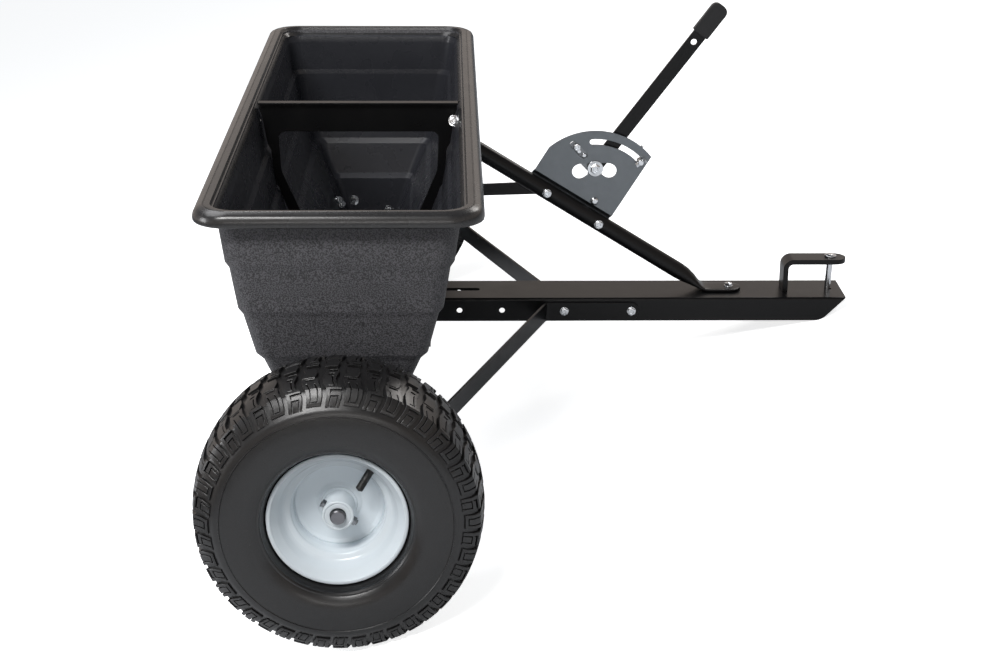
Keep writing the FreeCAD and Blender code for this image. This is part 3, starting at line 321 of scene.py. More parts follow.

# %% [markdown]
# ## Finishes
#
# Every finish is a Principled surface whose colour and roughness vary a little with
# noise on Object coordinates, and some also get a fine relief, because moulded, painted
# and plated surfaces are never quite even.  One recipe covers them all; what differs is
# the colour, the gloss, how metallic it is, and the size of the grain.


# %% Finish recipe
def finish(name, shade, rough, metallic=0.0, specular=0.5, mottle=0.08, mottle_size=25,
           spread=0.06, grain=0.0, grain_size=900, grain_depth=0.0002, speckle=0.0,
           speckle_size=620):
    """A procedural material.  Sizes are repeats per metre."""
    material = bpy.data.materials.new(name)
    tree = node_tree(material)
    place = add(tree, "ShaderNodeTexCoord")
    cloud = add(tree, "ShaderNodeTexNoise", in_2=mottle_size, in_3=4.0)
    mix = add(tree, "ShaderNodeMix", data_type="RGBA")
    low = [c * (1 - mottle) for c in shade]
    high = [min(1.0, c * (1 + mottle)) for c in shade]
    # A Mix node set to RGBA has its colours in inputs 6 and 7, its result in output 2.
    mix.inputs[6].default_value = (*low, 1)
    mix.inputs[7].default_value = (*high, 1)
    dull = add(tree, "ShaderNodeMapRange", in_3=rough - spread, in_4=rough + spread)
    surface = add(tree, "ShaderNodeBsdfPrincipled")
    surface.inputs["Metallic"].default_value = metallic
    surface.inputs["Specular IOR Level"].default_value = specular
    end = add(tree, "ShaderNodeOutputMaterial")
    wire(tree, place.outputs["Object"], cloud.inputs["Vector"])
    wire(tree, cloud.outputs[0], mix.inputs[0])
    if speckle:
        dust = add(tree, "ShaderNodeTexNoise", in_2=speckle_size, in_3=1.0)
        shift = add(tree, "ShaderNodeMapRange", in_1=0.4, in_2=0.6, in_3=1 - speckle,
                    in_4=1 + speckle)
        tinted = add(tree, "ShaderNodeVectorMath", operation="SCALE")
        wire(tree, place.outputs["Object"], dust.inputs["Vector"])
        wire(tree, dust.outputs[0], shift.inputs[0])
        wire(tree, mix.outputs[2], tinted.inputs[0])
        wire(tree, shift.outputs[0], tinted.inputs["Scale"])
        wire(tree, tinted.outputs[0], surface.inputs["Base Color"])
    else:
        wire(tree, mix.outputs[2], surface.inputs["Base Color"])
    wire(tree, cloud.outputs[0], dull.inputs[0])
    wire(tree, dull.outputs[0], surface.inputs["Roughness"])
    if grain:
        speck = add(tree, "ShaderNodeTexNoise", in_2=grain_size, in_3=3.0)
        relief = add(tree, "ShaderNodeBump", in_0=grain, in_1=grain_depth)
        wire(tree, place.outputs["Object"], speck.inputs["Vector"])
        wire(tree, speck.outputs[0], relief.inputs["Height"])
        wire(tree, relief.outputs[0], surface.inputs["Normal"])
    wire(tree, surface.outputs[0], end.inputs[0])
    return material


print("finish recipe ready")

# %% The finishes
moulded_out = finish("moulded skin, textured", (0.066, 0.065, 0.07), 0.5, specular=0.3,
                     grain=0.6, grain_size=480, grain_depth=0.001, speckle=0.55)
moulded_rim = finish("moulded skin, smooth", (0.02, 0.0195, 0.02), 0.27, specular=0.5,
                     grain=0.2, grain_size=400, grain_depth=0.0003, speckle=0.15)
moulded_in = finish("moulded skin, glossy", (0.026, 0.027, 0.032), 0.28, specular=0.3,
                    grain=0.1, grain_size=120, grain_depth=0.0005)
black_paint = finish("black powder coat", (0.0035, 0.0035, 0.0038), 0.3, specular=0.25,
                     grain=0.15, grain_size=420, grain_depth=0.0002)
zinc_sheet = finish("zinc-plated sheet", (0.17, 0.185, 0.197), 0.38, metallic=1.0,
                    mottle=0.15, mottle_size=60, spread=0.08, grain=0.1, grain_size=700)
bright_zinc = finish("bright zinc", (0.68, 0.7, 0.72), 0.2, metallic=1.0, mottle=0.15,
                     mottle_size=160)
dark_zinc = finish("dulled zinc", (0.2, 0.21, 0.22), 0.3, metallic=1.0, mottle=0.2,
                   mottle_size=160)
shaft_steel = finish("plain steel", (0.16, 0.16, 0.17), 0.35, metallic=1.0, mottle=0.2,
                     mottle_size=90)
galvanised = finish("galvanised sheet", (0.42, 0.44, 0.46), 0.42, metallic=1.0,
                    mottle=0.2, mottle_size=80)
wheel_paint = finish("white wheel paint", (0.74, 0.8, 0.84), 0.22, specular=0.5,
                     mottle=0.015, spread=0.03)
tyre_rubber = finish("tyre rubber", (0.0075, 0.0072, 0.0074), 0.32, specular=0.5,
                     mottle=0.2, mottle_size=50, grain=0.3, grain_size=500,
                     grain_depth=0.0003, speckle=0.2)
valve_rubber = finish("valve rubber", (0.012, 0.012, 0.012), 0.42, specular=0.4)
nylon = finish("off-white nylon", (0.62, 0.6, 0.54), 0.45)
grip_plastic = finish("grip plastic", (0.008, 0.008, 0.009), 0.4, specular=0.4)
coats = {
    "hopper_plastic": moulded_out, "black_steel": black_paint, "zinc_plate": zinc_sheet,
    "bright_zinc": bright_zinc, "bare_steel": shaft_steel, "galvanised": galvanised,
    "wheel_white": wheel_paint, "tyre_rubber": tyre_rubber, "valve_rubber": valve_rubber,
    "bush_nylon": nylon, "grip_plastic": grip_plastic,
}
print("finishes:", len(coats) + 3)

# %% [markdown]
# ## Round things
#
# Wheels, hubs, pins and caps are all turned shapes.  They could be cylinders with edges
# bevelled afterwards, but a turned part is really a profile swept round an axis.  So one
# helper rounds the corners of a path with arcs, and another spins the path.  What is
# hollow but not round, such as the hopper and the flattened tube, is lofted: a ring of
# points is extruded from section to section.


# %% Paths
def rounded_path(points, closed=False, steps=4):
    """Corner points (a, b, radius) with every corner turned into an arc of few steps."""
    path = []
    count = len(points)
    for i, (a, b, radius) in enumerate(points):
        here = Vector((a, b))
        if radius <= 0 or (not closed and i in (0, count - 1)):
            path.append(here)
            continue
        back = Vector(points[i - 1][:2]) - here
        ahead = Vector(points[(i + 1) % count][:2]) - here
        half = back.angle(ahead) / 2
        reach = min(radius / math.tan(half), 0.49 * back.length, 0.49 * ahead.length)
        first = here + back.normalized() * reach
        last = here + ahead.normalized() * reach
        round_r = reach * math.tan(half)
        middle = here + (back.normalized() + ahead.normalized()).normalized() \
            * round_r / math.sin(half)
        start = first - middle
        sweep = start.angle_signed(last - middle)
        for k in range(steps + 1):
            path.append(middle + Matrix.Rotation(-sweep * k / steps, 2) @ start)
    return path


square_corner = rounded_path([(0, 0, 0), (9, 0, 2), (9, 9, 0)])
print("a rounded corner takes", len(square_corner) - 2, "points")


# %% Spins
def spun(bm, path, at, axis, outward=None, steps=48, closed=False):
    """Spins a path of (radius, distance along the axis) round an axis through a point."""
    axis = Vector(axis).normalized()
    side = outward or axis.orthogonal().normalized()
    verts = [bm.verts.new(Vector(at) + side * r + axis * w) for r, w in path]
    edges = [bm.edges.new(pair) for pair in zip(verts, verts[1:])]
    if closed:
        edges.append(bm.edges.new((verts[-1], verts[0])))
    before = set(bm.faces)
    bmesh.ops.spin(bm, geom=verts + edges, cent=at, axis=axis, angle=math.tau,
                   steps=steps, use_merge=True)
    bmesh.ops.remove_doubles(bm, verts=bm.verts, dist=0.001)
    made = [f for f in bm.faces if f not in before]
    bmesh.ops.recalc_face_normals(bm, faces=made)
    return made


print("spinner ready")


# %% Lofts
def of_kind(geometry, kind):
    """The vertices, edges or faces out of mixed geometry."""
    return [g for g in geometry if isinstance(g, kind)]


def lofted(bm, sections, closed=False):
    """Extrudes a ring of points from section to section; gives its bands and hoops."""
    verts = [bm.verts.new(p) for p in sections[0]]
    edges = [bm.edges.new(pair) for pair in zip(verts, verts[1:] + verts[:1])]
    bands, hoops = [], []
    for points in sections[1:] + (sections[:1] if closed else []):
        made = bmesh.ops.extrude_edge_only(bm, edges=edges)["geom"]
        roots = {}
        for v in of_kind(made, bmesh.types.BMVert):
            roots[next(e.other_vert(v) for e in v.link_edges
                       if e.other_vert(v) in verts)] = v
        verts = [roots[v] for v in verts]
        for v, point in zip(verts, points):
            v.co = point
        edges = [e for e in of_kind(made, bmesh.types.BMEdge)
                 if e.verts[0] in verts and e.verts[1] in verts]
        bands.append(of_kind(made, bmesh.types.BMFace))
        hoops.append(edges)
    bmesh.ops.remove_doubles(bm, verts=bm.verts, dist=0.001)
    return bands, hoops


print("lofter ready")

# %% [markdown]
# ## Turf tyres
#
# A turf tyre is a round carcass with 22 pairs of zigzag lugs that run from the crown
# over the shoulder and a little way down the side wall, cut by thin sipes.  Modelling
# every lug on the curve would be slow, and bump alone would leave the outline smooth.
# So the tread is planned flat, like a knitting pattern: each row is a step from the
# crown to the side wall, each column a step round the wheel, and a letter marks rubber
# that stands up.  The plan's cells are raised, chamfered, repeated and wrapped round.

# %% Tyre section
tyre_low, tyre_high = level_box("tyre_near")
tyre_r = tyre_high.z
tyre_half_w = 75.0
tread_half_w = 56.0
shoulder_drop = 6.0
flange_r = 89.0
bead_half_w = 50.5
tread_depth = 4.0
tread_turn = math.radians(6.7)
near_y = (tyre_low.y + tyre_high.y) / 2
wheels = (
    # end, middle of the wheel in Y, body, which way is outboard
    ("near", near_y, "axle_and_near_wheel", -1),
    ("far", -near_y, "far_wheel", 1),
)


def arc_through(a, b, c, steps):
    """Points of the arc from a through b to c."""
    a, b, c = Vector(a), Vector(b), Vector(c)
    d = 2 * (a.x * (b.y - c.y) + b.x * (c.y - a.y) + c.x * (a.y - b.y))
    aa, bb, cc = (p.length_squared for p in (a, b, c))
    middle = Vector(((aa * (b.y - c.y) + bb * (c.y - a.y) + cc * (a.y - b.y)) / d,
                     (aa * (c.x - b.x) + bb * (a.x - c.x) + cc * (b.x - a.x)) / d))
    start = a - middle
    sweep = -(start.angle_signed(b - middle) + (b - middle).angle_signed(c - middle))
    return [middle + Matrix.Rotation(sweep * k / steps, 2) @ start
            for k in range(steps + 1)]


shoulder = (tyre_r - shoulder_drop, tread_half_w)
widest = (tyre_r - 60.8, tyre_half_w)
bead = (flange_r + 1, bead_half_w)
skin = arc_through((shoulder[0], -tread_half_w), (tyre_r, 0), shoulder, 32)[16:]
skin += arc_through(shoulder, (tyre_r - 27, tyre_half_w - 6), widest, 16)[1:]
skin += arc_through(widest, (tyre_r - 82.8, tyre_half_w - 5), bead, 10)[1:]
skin_s = [0.0]
for first, last in zip(skin, skin[1:]):
    skin_s.append(skin_s[-1] + (last - first).length)


def skin_at(s):
    """Point of the tyre's outer skin at a distance from the crown's middle."""
    s = min(max(s, 0.0), skin_s[-1] - 0.001)
    i = next(k for k, end in enumerate(skin_s) if end > s) - 1
    share = (s - skin_s[i]) / (skin_s[i + 1] - skin_s[i])
    return skin[i].lerp(skin[i + 1], share)


def skin_out(s):
    """Direction straight out of the skin, smoothed over the shoulder's corner."""
    run = skin_at(s + 2.5) - skin_at(max(s - 2.5, 0.0))
    return Vector((run.y, -run.x)).normalized() if s > 0.5 else Vector((1, 0))


def groove_depth(s):
    """Depth of the grooves below the skin: full on the crown, nothing past the lugs."""
    points = [(0, tread_depth), (46, tread_depth), (60, 3.3), (70, 2.9), (80, 1.7), (86, 0),
              (999, 0)]
    for (s0, d0), (s1, d1) in zip(points, points[1:]):
        if s <= s1:
            return d0 + (d1 - d0) * (s - s0) / (s1 - s0)


shoulder_s = skin_s[16]
print("tyre radius", round(tyre_r, 1), "mm, shoulder", round(shoulder_s, 1), "mm out")

# %% Tread plan
lug_pairs = 22
pair_pitch = math.tau * tyre_r / lug_pairs
zigzag = [(0, -1.0), (9, -2.6), (15, -3.9), (31, 0), (43, -0.8), (58, -5.1), (67, -5.1),
          (80, -2.1), (99, 1.0)]
first_lug = [3.6, 1.3, 2.4, 1.2, 5.0, 1.3, 5.0]
second_lug = [4.8, 1.3, 8.4, 1.3, 5.2]
channel = (pair_pitch - sum(first_lug) - sum(second_lug)) / 2
columns = first_lug + [channel] + second_lug + [channel]
# One pair of lugs, from the crown (top row) out to the side wall (last row).  Each row
# ends at the distance given.  A capital is a full lug, a small letter is a sunk stub
# and a dot is groove.
plan = [
    (1.5, "....... . ..... ."),
    (9.0, "....... . .AAAA ."),
    (10.0, ".BBBBBB . .AAAA ."),
    (15.5, ".BbbbbB . .AAAA ."),
    (21.0, ".BBBBBB . .AAAA ."),
    (25.0, ".BBBbbB . .AAAA ."),
    (29.0, ".BBBBBB . .AAAA ."),
    (31.0, ".BB.BBB . ..... ."),
    (32.8, ".BB.BBB . AAAAA ."),
    (36.6, ".BB.BBB . A...A ."),
    (44.0, ".BB.BBB . AAAAA ."),
    (45.3, ".BB.BBB . AAA.A ."),
    (51.0, ".BB.BBB . A.A.A ."),
    (52.3, "BBB...B . A.A.A ."),
    (56.4, "BBBBBBB . A.A.A ."),
    (58.8, "BBBBBBB . A.A.A ."),
    (61.6, "......B . A.A.A ."),
    (64.0, "BBBBB.B . A.A.A ."),
    (66.6, "BBBBBBB . A.A.A ."),
    (68.0, "B.....B . A.A.A ."),
    (73.2, "B.BBB.B . A.A.A ."),
    (74.5, "B.BBB.B . A...A ."),
    (78.6, "B.BBB.B . AAAAA ."),
    (81.0, "B.BBB.B . ..... ."),
]
print("tread plan:", len(plan), "rows by", len(columns), "columns, channel",
      round(channel, 1), "mm")


# %% Raise the plan
lug_chamfer = 0.4
stub_share = 0.45


def zigzag_at(s):
    """Sideways lean of the lugs at a distance from the crown."""
    for (s0, u0), (s1, u1) in zip(zigzag, zigzag[1:]):
        if s <= s1:
            return u0 + (u1 - u0) * (s - s0) / (s1 - s0)


def raise_cells(bm, faces, height):
    """Pulls cells up into closed blocks and chamfers their tops."""
    cells = of_kind(bmesh.ops.split(bm, geom=faces)["geom"], bmesh.types.BMFace)
    made = bmesh.ops.extrude_face_region(bm, geom=cells, use_keep_orig=True)["geom"]
    bmesh.ops.translate(bm, verts=of_kind(made, bmesh.types.BMVert), vec=(0, 0, height))
    bm.normal_update()
    brims = {e for f in of_kind(made, bmesh.types.BMFace) for e in f.edges
             if len(e.link_faces) == 2 and e.calc_face_angle() > 0.5}
    round_off(bm, list(brims), lug_chamfer, segments=1)


def lug_pair():
    """One pair of lugs, flat: X round the wheel, Y from the crown out, Z up."""
    rows = [0.0] + [s for s, cells in plan]
    places = [sum(columns[:k]) for k in range(len(columns) + 1)]
    bm = bmesh.new()
    bmesh.ops.create_grid(bm, x_segments=len(columns), y_segments=len(plan), size=0.5)
    kinds = {"full": [], "sunk": [], "groove": []}
    for face in bm.faces:
        middle = face.calc_center_median()
        row = int((middle.y + 0.5) * len(plan))
        column = int((middle.x + 0.5) * len(columns))
        cell = plan[row][1].replace(" ", "")[column]
        kind = "full" if cell.isupper() else "sunk" if cell.isalpha() else "groove"
        kinds[kind].append(face)
    for v in bm.verts:
        column = round((v.co.x + 0.5) * len(columns))
        row = round((v.co.y + 0.5) * len(plan))
        v.co = (places[column] + zigzag_at(rows[row]), rows[row], 0)
    bmesh.ops.delete(bm, geom=kinds["groove"], context="FACES")
    raise_cells(bm, kinds["full"], tread_depth)
    raise_cells(bm, kinds["sunk"], tread_depth * stub_share)
    flat = bpy.data.meshes.new("flat lugs")
    bm.to_mesh(flat)
    bm.free()
    return flat


flat_lugs = lug_pair()
print("one pair of lugs:", len(flat_lugs.polygons), "faces")


# %% Wrap the tread
lug_root = 0.6


def wrap(verts, turn, side, middle_y):
    """Bends flat lugs round the tyre: side is 1 for the far half, -1 for the near one."""
    for v in verts:
        s = v.co.y
        depth = groove_depth(s)
        rise = depth * v.co.z / tread_depth - depth - (lug_root if v.co.z < 0.1 else 0)
        spot = skin_at(s) + skin_out(s) * rise
        angle = turn + v.co.x / tyre_r
        v.co = (spot.x * math.cos(angle), middle_y + side * spot.y,
                spot.x * math.sin(angle))


print("lugs will sink", lug_root, "mm into the carcass")

# %% Spin the carcass and set the lugs on it
carcass_steps = 132
ring_s = 93.5
nub_r = 1.5
nub_sink = 1.05
nub_places = 36
nub_rows = ((103, 0.0), (118, 0.5), (129, 0.2))


def carcass_half():
    """Section of one half of the carcass, with a fine ring and a bead rib."""
    path = [skin_at(s) - skin_out(s) * groove_depth(s)
            for s in [0, 10, 20, 30, 40, 48, 53, 56, 58, 60, 64, 69, 75, 80, 84, 87, 90]]
    end = skin_s[-1]
    rib_s = end - 17
    for at, width, rise in ((ring_s, 1.0, 1.1), (rib_s, 3.0, 1.1)):
        for offset, lift in ((-1, 0), (-0.45, 1), (0.45, 1), (1, 0)):
            s = at + offset * width
            path.append(skin_at(s) + skin_out(s) * rise * lift)
        following = at + 2 * width
        last = rib_s - 4 if at == ring_s else end - 1
        for k in range(8):
            path.append(skin_at(following + (last - following) * k / 7))
    return path


def tyre(name, node, middle_y, body):
    """A whole tyre with its tread and the small moulding nubs on its side walls."""
    bm = bmesh.new()
    half = [(p.x, p.y) for p in carcass_half()]
    toe = [(91.5, bead_half_w - 2.5), (87, bead_half_w - 4), (78.5, 42)]
    path = [(r, -w) for r, w in toe[::-1] + half[:0:-1]] + half + toe
    spun(bm, path, (0, middle_y, 0), (0, 1, 0), Vector((1, 0, 0)), carcass_steps,
         closed=True)
    for side, shift in ((-1, 0.0), (1, 0.5)):
        for k in range(lug_pairs):
            bm.verts.ensure_lookup_table()
            count = len(bm.verts)
            bm.from_mesh(flat_lugs)
            bm.verts.ensure_lookup_table()
            turn = tread_turn + math.tau * (k + shift) / lug_pairs
            wrap(bm.verts[count:], turn, side, middle_y)
    for side in (-1, 1):
        for k in range(nub_places):
            for s, lag in nub_rows:
                if (5 * k + s) % 7 > 2:
                    continue
                spot = skin_at(s) - skin_out(s) * nub_sink
                angle = math.tau * (k + lag) / nub_places
                at = Vector((spot.x * math.cos(angle), middle_y + side * spot.y,
                             spot.x * math.sin(angle)))
                bmesh.ops.create_icosphere(bm, subdivisions=1, radius=nub_r,
                                           matrix=Matrix.Translation(at))
    bmesh.ops.recalc_face_normals(bm, faces=bm.faces)
    return piece(name, bm, body, tyre_rubber, [node], sharp=30)


for end, middle_y, body, out in wheels:
    made = tyre("turf_tyre_" + end, "tyre_" + end, middle_y, body)
print("tyre:", len(made.data.polygons), "faces each")

# %% [markdown]
# ## Pressed rims and hubs
#
# The rim is rolled from sheet: a curled flange holds the bead, a slope drops into the
# well, and a flat disc is welded across it round the hub tube.  It could be cut from a
# solid drum, but the soft curls are what make it read as pressed steel, so its section
# is drawn as one rounded path and spun.  Weld beads are small closed rings.

# %% Rims
rim_t = 2.5
well_r = 60.0
hub_r = 20.0
hub_half_l = 42.5
face_w = 55.5
barrel_half = [
    # radius, distance out, corner radius: from the well's middle to the flange's curl
    (well_r - rim_t, 19.0, 13.0), (70.0, 29.5, 14.0), (75.2, 42.0, 16.0),
    (82.6, 52.8, 1.5), (84.0, face_w, 1.8), (flange_r, face_w, 2.0), (flange_r, 51.8, 0.6),
    (85.4, 51.6, 2.0), (76.6, 44.6, 6.0), (75.4, 31.0, 4.0), (well_r, 23.6, 4.0),
]


def rim(name, node, middle_y, body, out):
    """Barrel, disc and weld ring of one wheel.  out is the outboard side."""
    bm = bmesh.new()
    inner = barrel_half[:7]
    outer = barrel_half[7:]
    section = inner + outer
    section += [(r, -w, c) for r, w, c in reversed(outer)]
    section += [(r, -w, c) for r, w, c in reversed(inner)]
    axis = (0, out, 0)
    at = (0, middle_y, 0)
    spun(bm, rounded_path(section, True, 5), at, axis, Vector((1, 0, 0)), 96, closed=True)
    disc = [(well_r - 1, -1.2, 0), (well_r - 1, 1.2, 0), (well_r - 4, 3.2, 2.0),
            (well_r - 9, 1.2, 3.0), (hub_r + 9, 1.2, 4.0), (hub_r + 4.5, 3.8, 3.0),
            (hub_r - 0.5, 3.8, 0), (hub_r - 0.5, -1.2, 0)]
    spun(bm, rounded_path(disc, True, 4), at, axis, Vector((1, 0, 0)), 96, closed=True)
    weld = [(hub_r - 0.5, 3.0, 0), (hub_r + 3.2, 3.0, 0.6), (hub_r + 2.4, 5.6, 1.2),
            (hub_r - 0.5, 7.2, 0)]
    spun(bm, rounded_path(weld, True, 3), at, axis, Vector((1, 0, 0)), 72, closed=True)
    return piece(name, bm, body, wheel_paint, [node], sharp=40)


def hub(name, node, middle_y, body, out, bore_r):
    """Hub tube with a rolled lip and a bush ring in its outer end."""
    bm = bmesh.new()
    end = hub_half_l
    section = [(hub_r, -end, 0.8), (hub_r, end, 1.6), (hub_r - 2.8, end, 0.8),
               (hub_r - 3.4, end - 1.4, 0.5), (hub_r - 4.2, end - 0.6, 0.5),
               (bore_r + 0.6, end - 0.6, 1.2), (bore_r + 0.6, -end, 0.6)]
    spun(bm, rounded_path(section, True, 4), (0, middle_y, 0), (0, out, 0),
         Vector((1, 0, 0)), 72, closed=True)
    return piece(name, bm, body, wheel_paint, [node], sharp=40)


axle_r = level_box("axle")[1].z
for end, middle_y, body, out in wheels:
    rim("pressed_rim_" + end, "wheel_rim_" + end, middle_y, body, out)
    hub("hub_tube_" + end, "wheel_hub_" + end, middle_y, body, out, axle_r)
print("rims and hubs: 2 of each")

# %% [markdown]
# ## Valve stems
#
# A snap-in valve is a rubber stem with a flared foot and fine ribs, closed by a knurled
# plastic cap.  It is a turned shape again, so its section is spun round its own line,
# and only the cap's grips are cut after that, by pushing every other strip inwards.

# %% Valves
valve_turn = math.radians(37.0)
valve_lean = math.radians(32.0)


def valve(name, node, middle_y, body, out):
    """Stem and cap, leaning inwards from the slope of the well."""
    spoke = Vector((math.sin(valve_turn), 0, math.cos(valve_turn)))
    run = Vector((0, out, 0)) * math.sin(valve_lean) - spoke * math.cos(valve_lean)
    foot = Vector((0, middle_y, 0)) + spoke * (well_r + 10) + Vector((0, out, 0)) * 25
    bm = bmesh.new()
    stem = [(0, -5, 0), (6.4, -5, 0), (6.2, 1.5, 1.5), (5.0, 4.5, 1.5), (4.9, 17, 0.5),
            (4.5, 17.8, 0), (4.5, 18.6, 0), (0, 18.6, 0)]
    spun(bm, rounded_path(stem), foot, run, steps=32)
    cap = [(0, 18.2, 0), (4.9, 18.2, 0.4), (4.9, 30.2, 1.6), (0, 32, 0)]
    made = spun(bm, rounded_path(cap), foot, run, steps=48)
    strips = [f for f in made if abs(f.normal.dot(run)) < 0.1 and f.calc_area() > 3]
    bmesh.ops.inset_individual(bm, faces=strips[::2], thickness=0.08, depth=-0.35)
    return piece(name, bm, body, valve_rubber, [node], sharp=30)


for end, middle_y, body, out in wheels:
    valve("valve_stem_" + end, "valve_" + end, middle_y, body, out)
print("valves: 2")

# %% [markdown]
# ## The hopper
#
# The hopper is one rotationally moulded skin: a flared, rolled mouth, five tiers of wall
# that step inwards on the way down, and a flat foot that is open to the shutter.  Its
# outside has the mould's texture and its inside is glossy.  Boxes cut from each other
# would leave hard corners, so it is drawn as a stack of rounded rectangles, each with the
# same number of points and extruded from the last: up the outside, over the rim and down
# the inside.

# %% Hopper sections
low, high = level_box("hopper_shell")
foot_z, rim_z = low.z, high.z
rim_x, rim_y = high.x, high.y
wall = 4.0
foot_half_x = 60.0
foot_half_y = 551.5
ledge_round = 2.6
outside_tiers = [
    # height, half length in X, half length in Y, from the foot up to below the rim
    (foot_z + wall, 30.5, 551), (86, 74, 552), (93, 79, 564), (147, 103, 573),
    (156, 112, 578), (211, 126.5, 584), (219, 132.5, 586), (274, 141.5, 588),
    (282, 147, 589), (332, 154, 590), (342, 158, 590.5),
]
mouth_path = rounded_path([
    # the rolled rim in section: how far in from the edge, height below the top, rounding
    (26, -5, 2), (7.5, -5, 3), (7.5, -19.4, 1.2), (0.8, -20, 2.6), (0, -12, 14),
    (4, -3.6, 12), (12, 0, 12), (12.6, 0, 0.3), (13.2, -0.9, 0.2), (13.9, -0.9, 0.2),
    (14.5, 0, 0.3), (21.8, 0, 1.6), (26, -8, 3), (31, -14, 0),
], steps=5)


def level_ring(z, half_x, half_y, corner):
    """A rounded rectangle of points at one height."""
    corners = [(half_x, -half_y, corner), (half_x, half_y, corner),
               (-half_x, half_y, corner), (-half_x, -half_y, corner)]
    return [Vector((x, y, z)) for x, y in rounded_path(corners, True, 8)]


def corner_of(half_x):
    """Corner radius of the hopper's wall where it is this wide."""
    return 0.15 * half_x + 3


print("hopper plan:", len(outside_tiers), "heights of wall,", len(mouth_path),
      "points round the rim")

# %% Hopper skin
rings = [level_ring(z, foot_half_x, foot_half_y, 4) for z in (foot_z, foot_z + wall)]
rings += [level_ring(z, x, y, corner_of(x)) for z, x, y in outside_tiers]
first_rim = len(rings)
rings += [level_ring(rim_z + z, rim_x - a, rim_y - 0.8 * a, 46 - 0.45 * a)
          for a, z in mouth_path]
first_inside = len(rings)
inside = [(z, x - wall, y - wall) for z, x, y in outside_tiers[1:]]
rings += [level_ring(z, x, y, corner_of(x) - wall / 2) for z, x, y in reversed(inside)]
rings.append(level_ring(foot_z, 26.5, 547, 8))
bm = bmesh.new()
bands, hoops = lofted(bm, rings, closed=True)
for k, faces in enumerate(bands):
    for face in faces:
        face.material_index = 2 if k >= first_inside - 1 else 1 if k >= first_rim else 0
ledges = [e for k, hoop in enumerate(hoops) for e in hoop
          if e.is_valid and not first_rim - 1 <= k < first_inside - 1]
bmesh.ops.recalc_face_normals(bm, faces=bm.faces)
round_off(bm, ledges, ledge_round, segments=3)
hopper = piece("hopper_skin", bm, "chassis",
               [moulded_out, moulded_rim, moulded_in], ["hopper_shell"], sharp=60)
print("hopper:", len(rings), "sections,", len(hopper.data.polygons), "faces")

# %% [markdown]
# ## Bolts
#
# The bolts are zinc-plated hex bolts with a dished head.  A bevelled six-sided cone makes
# the head, its top face is inset and sunk, and the shank and washer are spun.  One recipe
# with a few sizes makes them all, because a machine like this is built from one bin.

# %% Bolt recipe
def bolt_head(bm, at, axis, r, height, washer_r=0.0):
    """A hex head standing on a surface at a spot, with a washer under it if asked for."""
    axis = Vector(axis).normalized()
    upright = Matrix.Translation(at) @ axis.to_track_quat("Z", "Y").to_matrix().to_4x4()
    base = 1.2 if washer_r else 0.0
    if washer_r:
        spun(bm, rounded_path([(0, 0, 0), (washer_r, 0, 0.2), (washer_r, base, 0.4),
                               (0, base, 0)]), at, axis, steps=28)
    seat = Matrix.Translation((0, 0, base + (height - base) / 2))
    made = bmesh.ops.create_cone(bm, cap_ends=True, segments=6, radius1=r, radius2=r,
                                 depth=height - base, matrix=upright @ seat)["verts"]
    bm.normal_update()
    top = max({f for v in made for f in v.link_faces}, key=lambda f: f.normal.dot(axis))
    round_off(bm, top.edges[:], 0.16 * r, clamp=False)
    bm.normal_update()
    spot = Vector(at) + axis * height
    top = min((f for f in bm.faces if f.normal.dot(axis) > 0.99),
              key=lambda f: (f.calc_center_median() - spot).length)
    bmesh.ops.inset_region(bm, faces=[top], thickness=0.28 * r, depth=0)
    bmesh.ops.inset_region(bm, faces=[top], thickness=0.12 * r, depth=-0.16 * r)


def shank(bm, start, end, r):
    """A plain round pin with broken ends."""
    run = Vector(end) - Vector(start)
    path = [(0, 0, 0), (r, 0, 0.5), (r, run.length, 0.5), (0, run.length, 0)]
    spun(bm, rounded_path(path), start, run, steps=28)


def zinc_piece(name, bm, body, stands_for=(), coat=bright_zinc):
    """Hands over a small zinc-plated piece."""
    return piece(name, bm, body, coat, stands_for)


def bolt_place(node):
    """Middle of a drawn bolt, and how far back in Y it reaches, in millimetres."""
    low, high = level_box(node)
    return (low + high) / 2, high.y


print("bolt recipe ready")

# %% Bolts of the frame
brace_bolt_xs = (320.4, 426.2)
brace_bolt_z = 33.0
brace_face_y = 50
foot_bolt_x = 585
bolt_r = 4.0
bm = bmesh.new()
for x in brace_bolt_xs:
    shank(bm, (x, -brace_face_y - 1, brace_bolt_z), (x, brace_face_y + 1, brace_bolt_z),
          bolt_r)
    for side in (-1, 1):
        bolt_head(bm, (x, side * brace_face_y, brace_bolt_z), (0, side, 0), 6.6, 5, 7.0)
zinc_piece("brace_bolt_set", bm, "chassis", ["brace_bolts"])

bm = bmesh.new()
shank(bm, (foot_bolt_x, 0, 46), (foot_bolt_x, 0, 60), bolt_r)
bolt_head(bm, (foot_bolt_x, 0, 58.2), (0, 0, 1), 6.4, 5, 7.0)
bolt_head(bm, (foot_bolt_x, 0, 50.0), (0, 0, -1), 6.6, 5)
zinc_piece("foot_bolt_set", bm, "chassis", ["foot_bolt"])
print("frame bolts: 6 heads")

# %% [markdown]
# ## Quadrant plate
#
# The quadrant is cut zinc sheet with one joggle, so that it stands in front of the lever
# above and lies behind the support tube below.  It could be a box cut with cylinders, but
# every cut leaves long thin faces.  Here its front face is filled from the outline and
# three slots, which are rings of points, and its lower edge is pulled down over the
# joggle.  Giving the finished sheet its thickness last keeps it even.

# %% Quadrant outline helpers
pivot, pivot_back = bolt_place("pivot_bolt")
sheet_y = 5
tube_slope = 0.62
lean_down = math.atan(tube_slope)


def tube_z(x):
    """Height of the support tube's middle line."""
    return 80 + (510 - x) * tube_slope


def polar(r, angle, at=None):
    """A point at a radius and an angle in degrees about the lever's pivot or a spot."""
    x, z = at or (pivot.x, pivot.z)
    return (x + r * math.cos(math.radians(angle)), z + r * math.sin(math.radians(angle)))


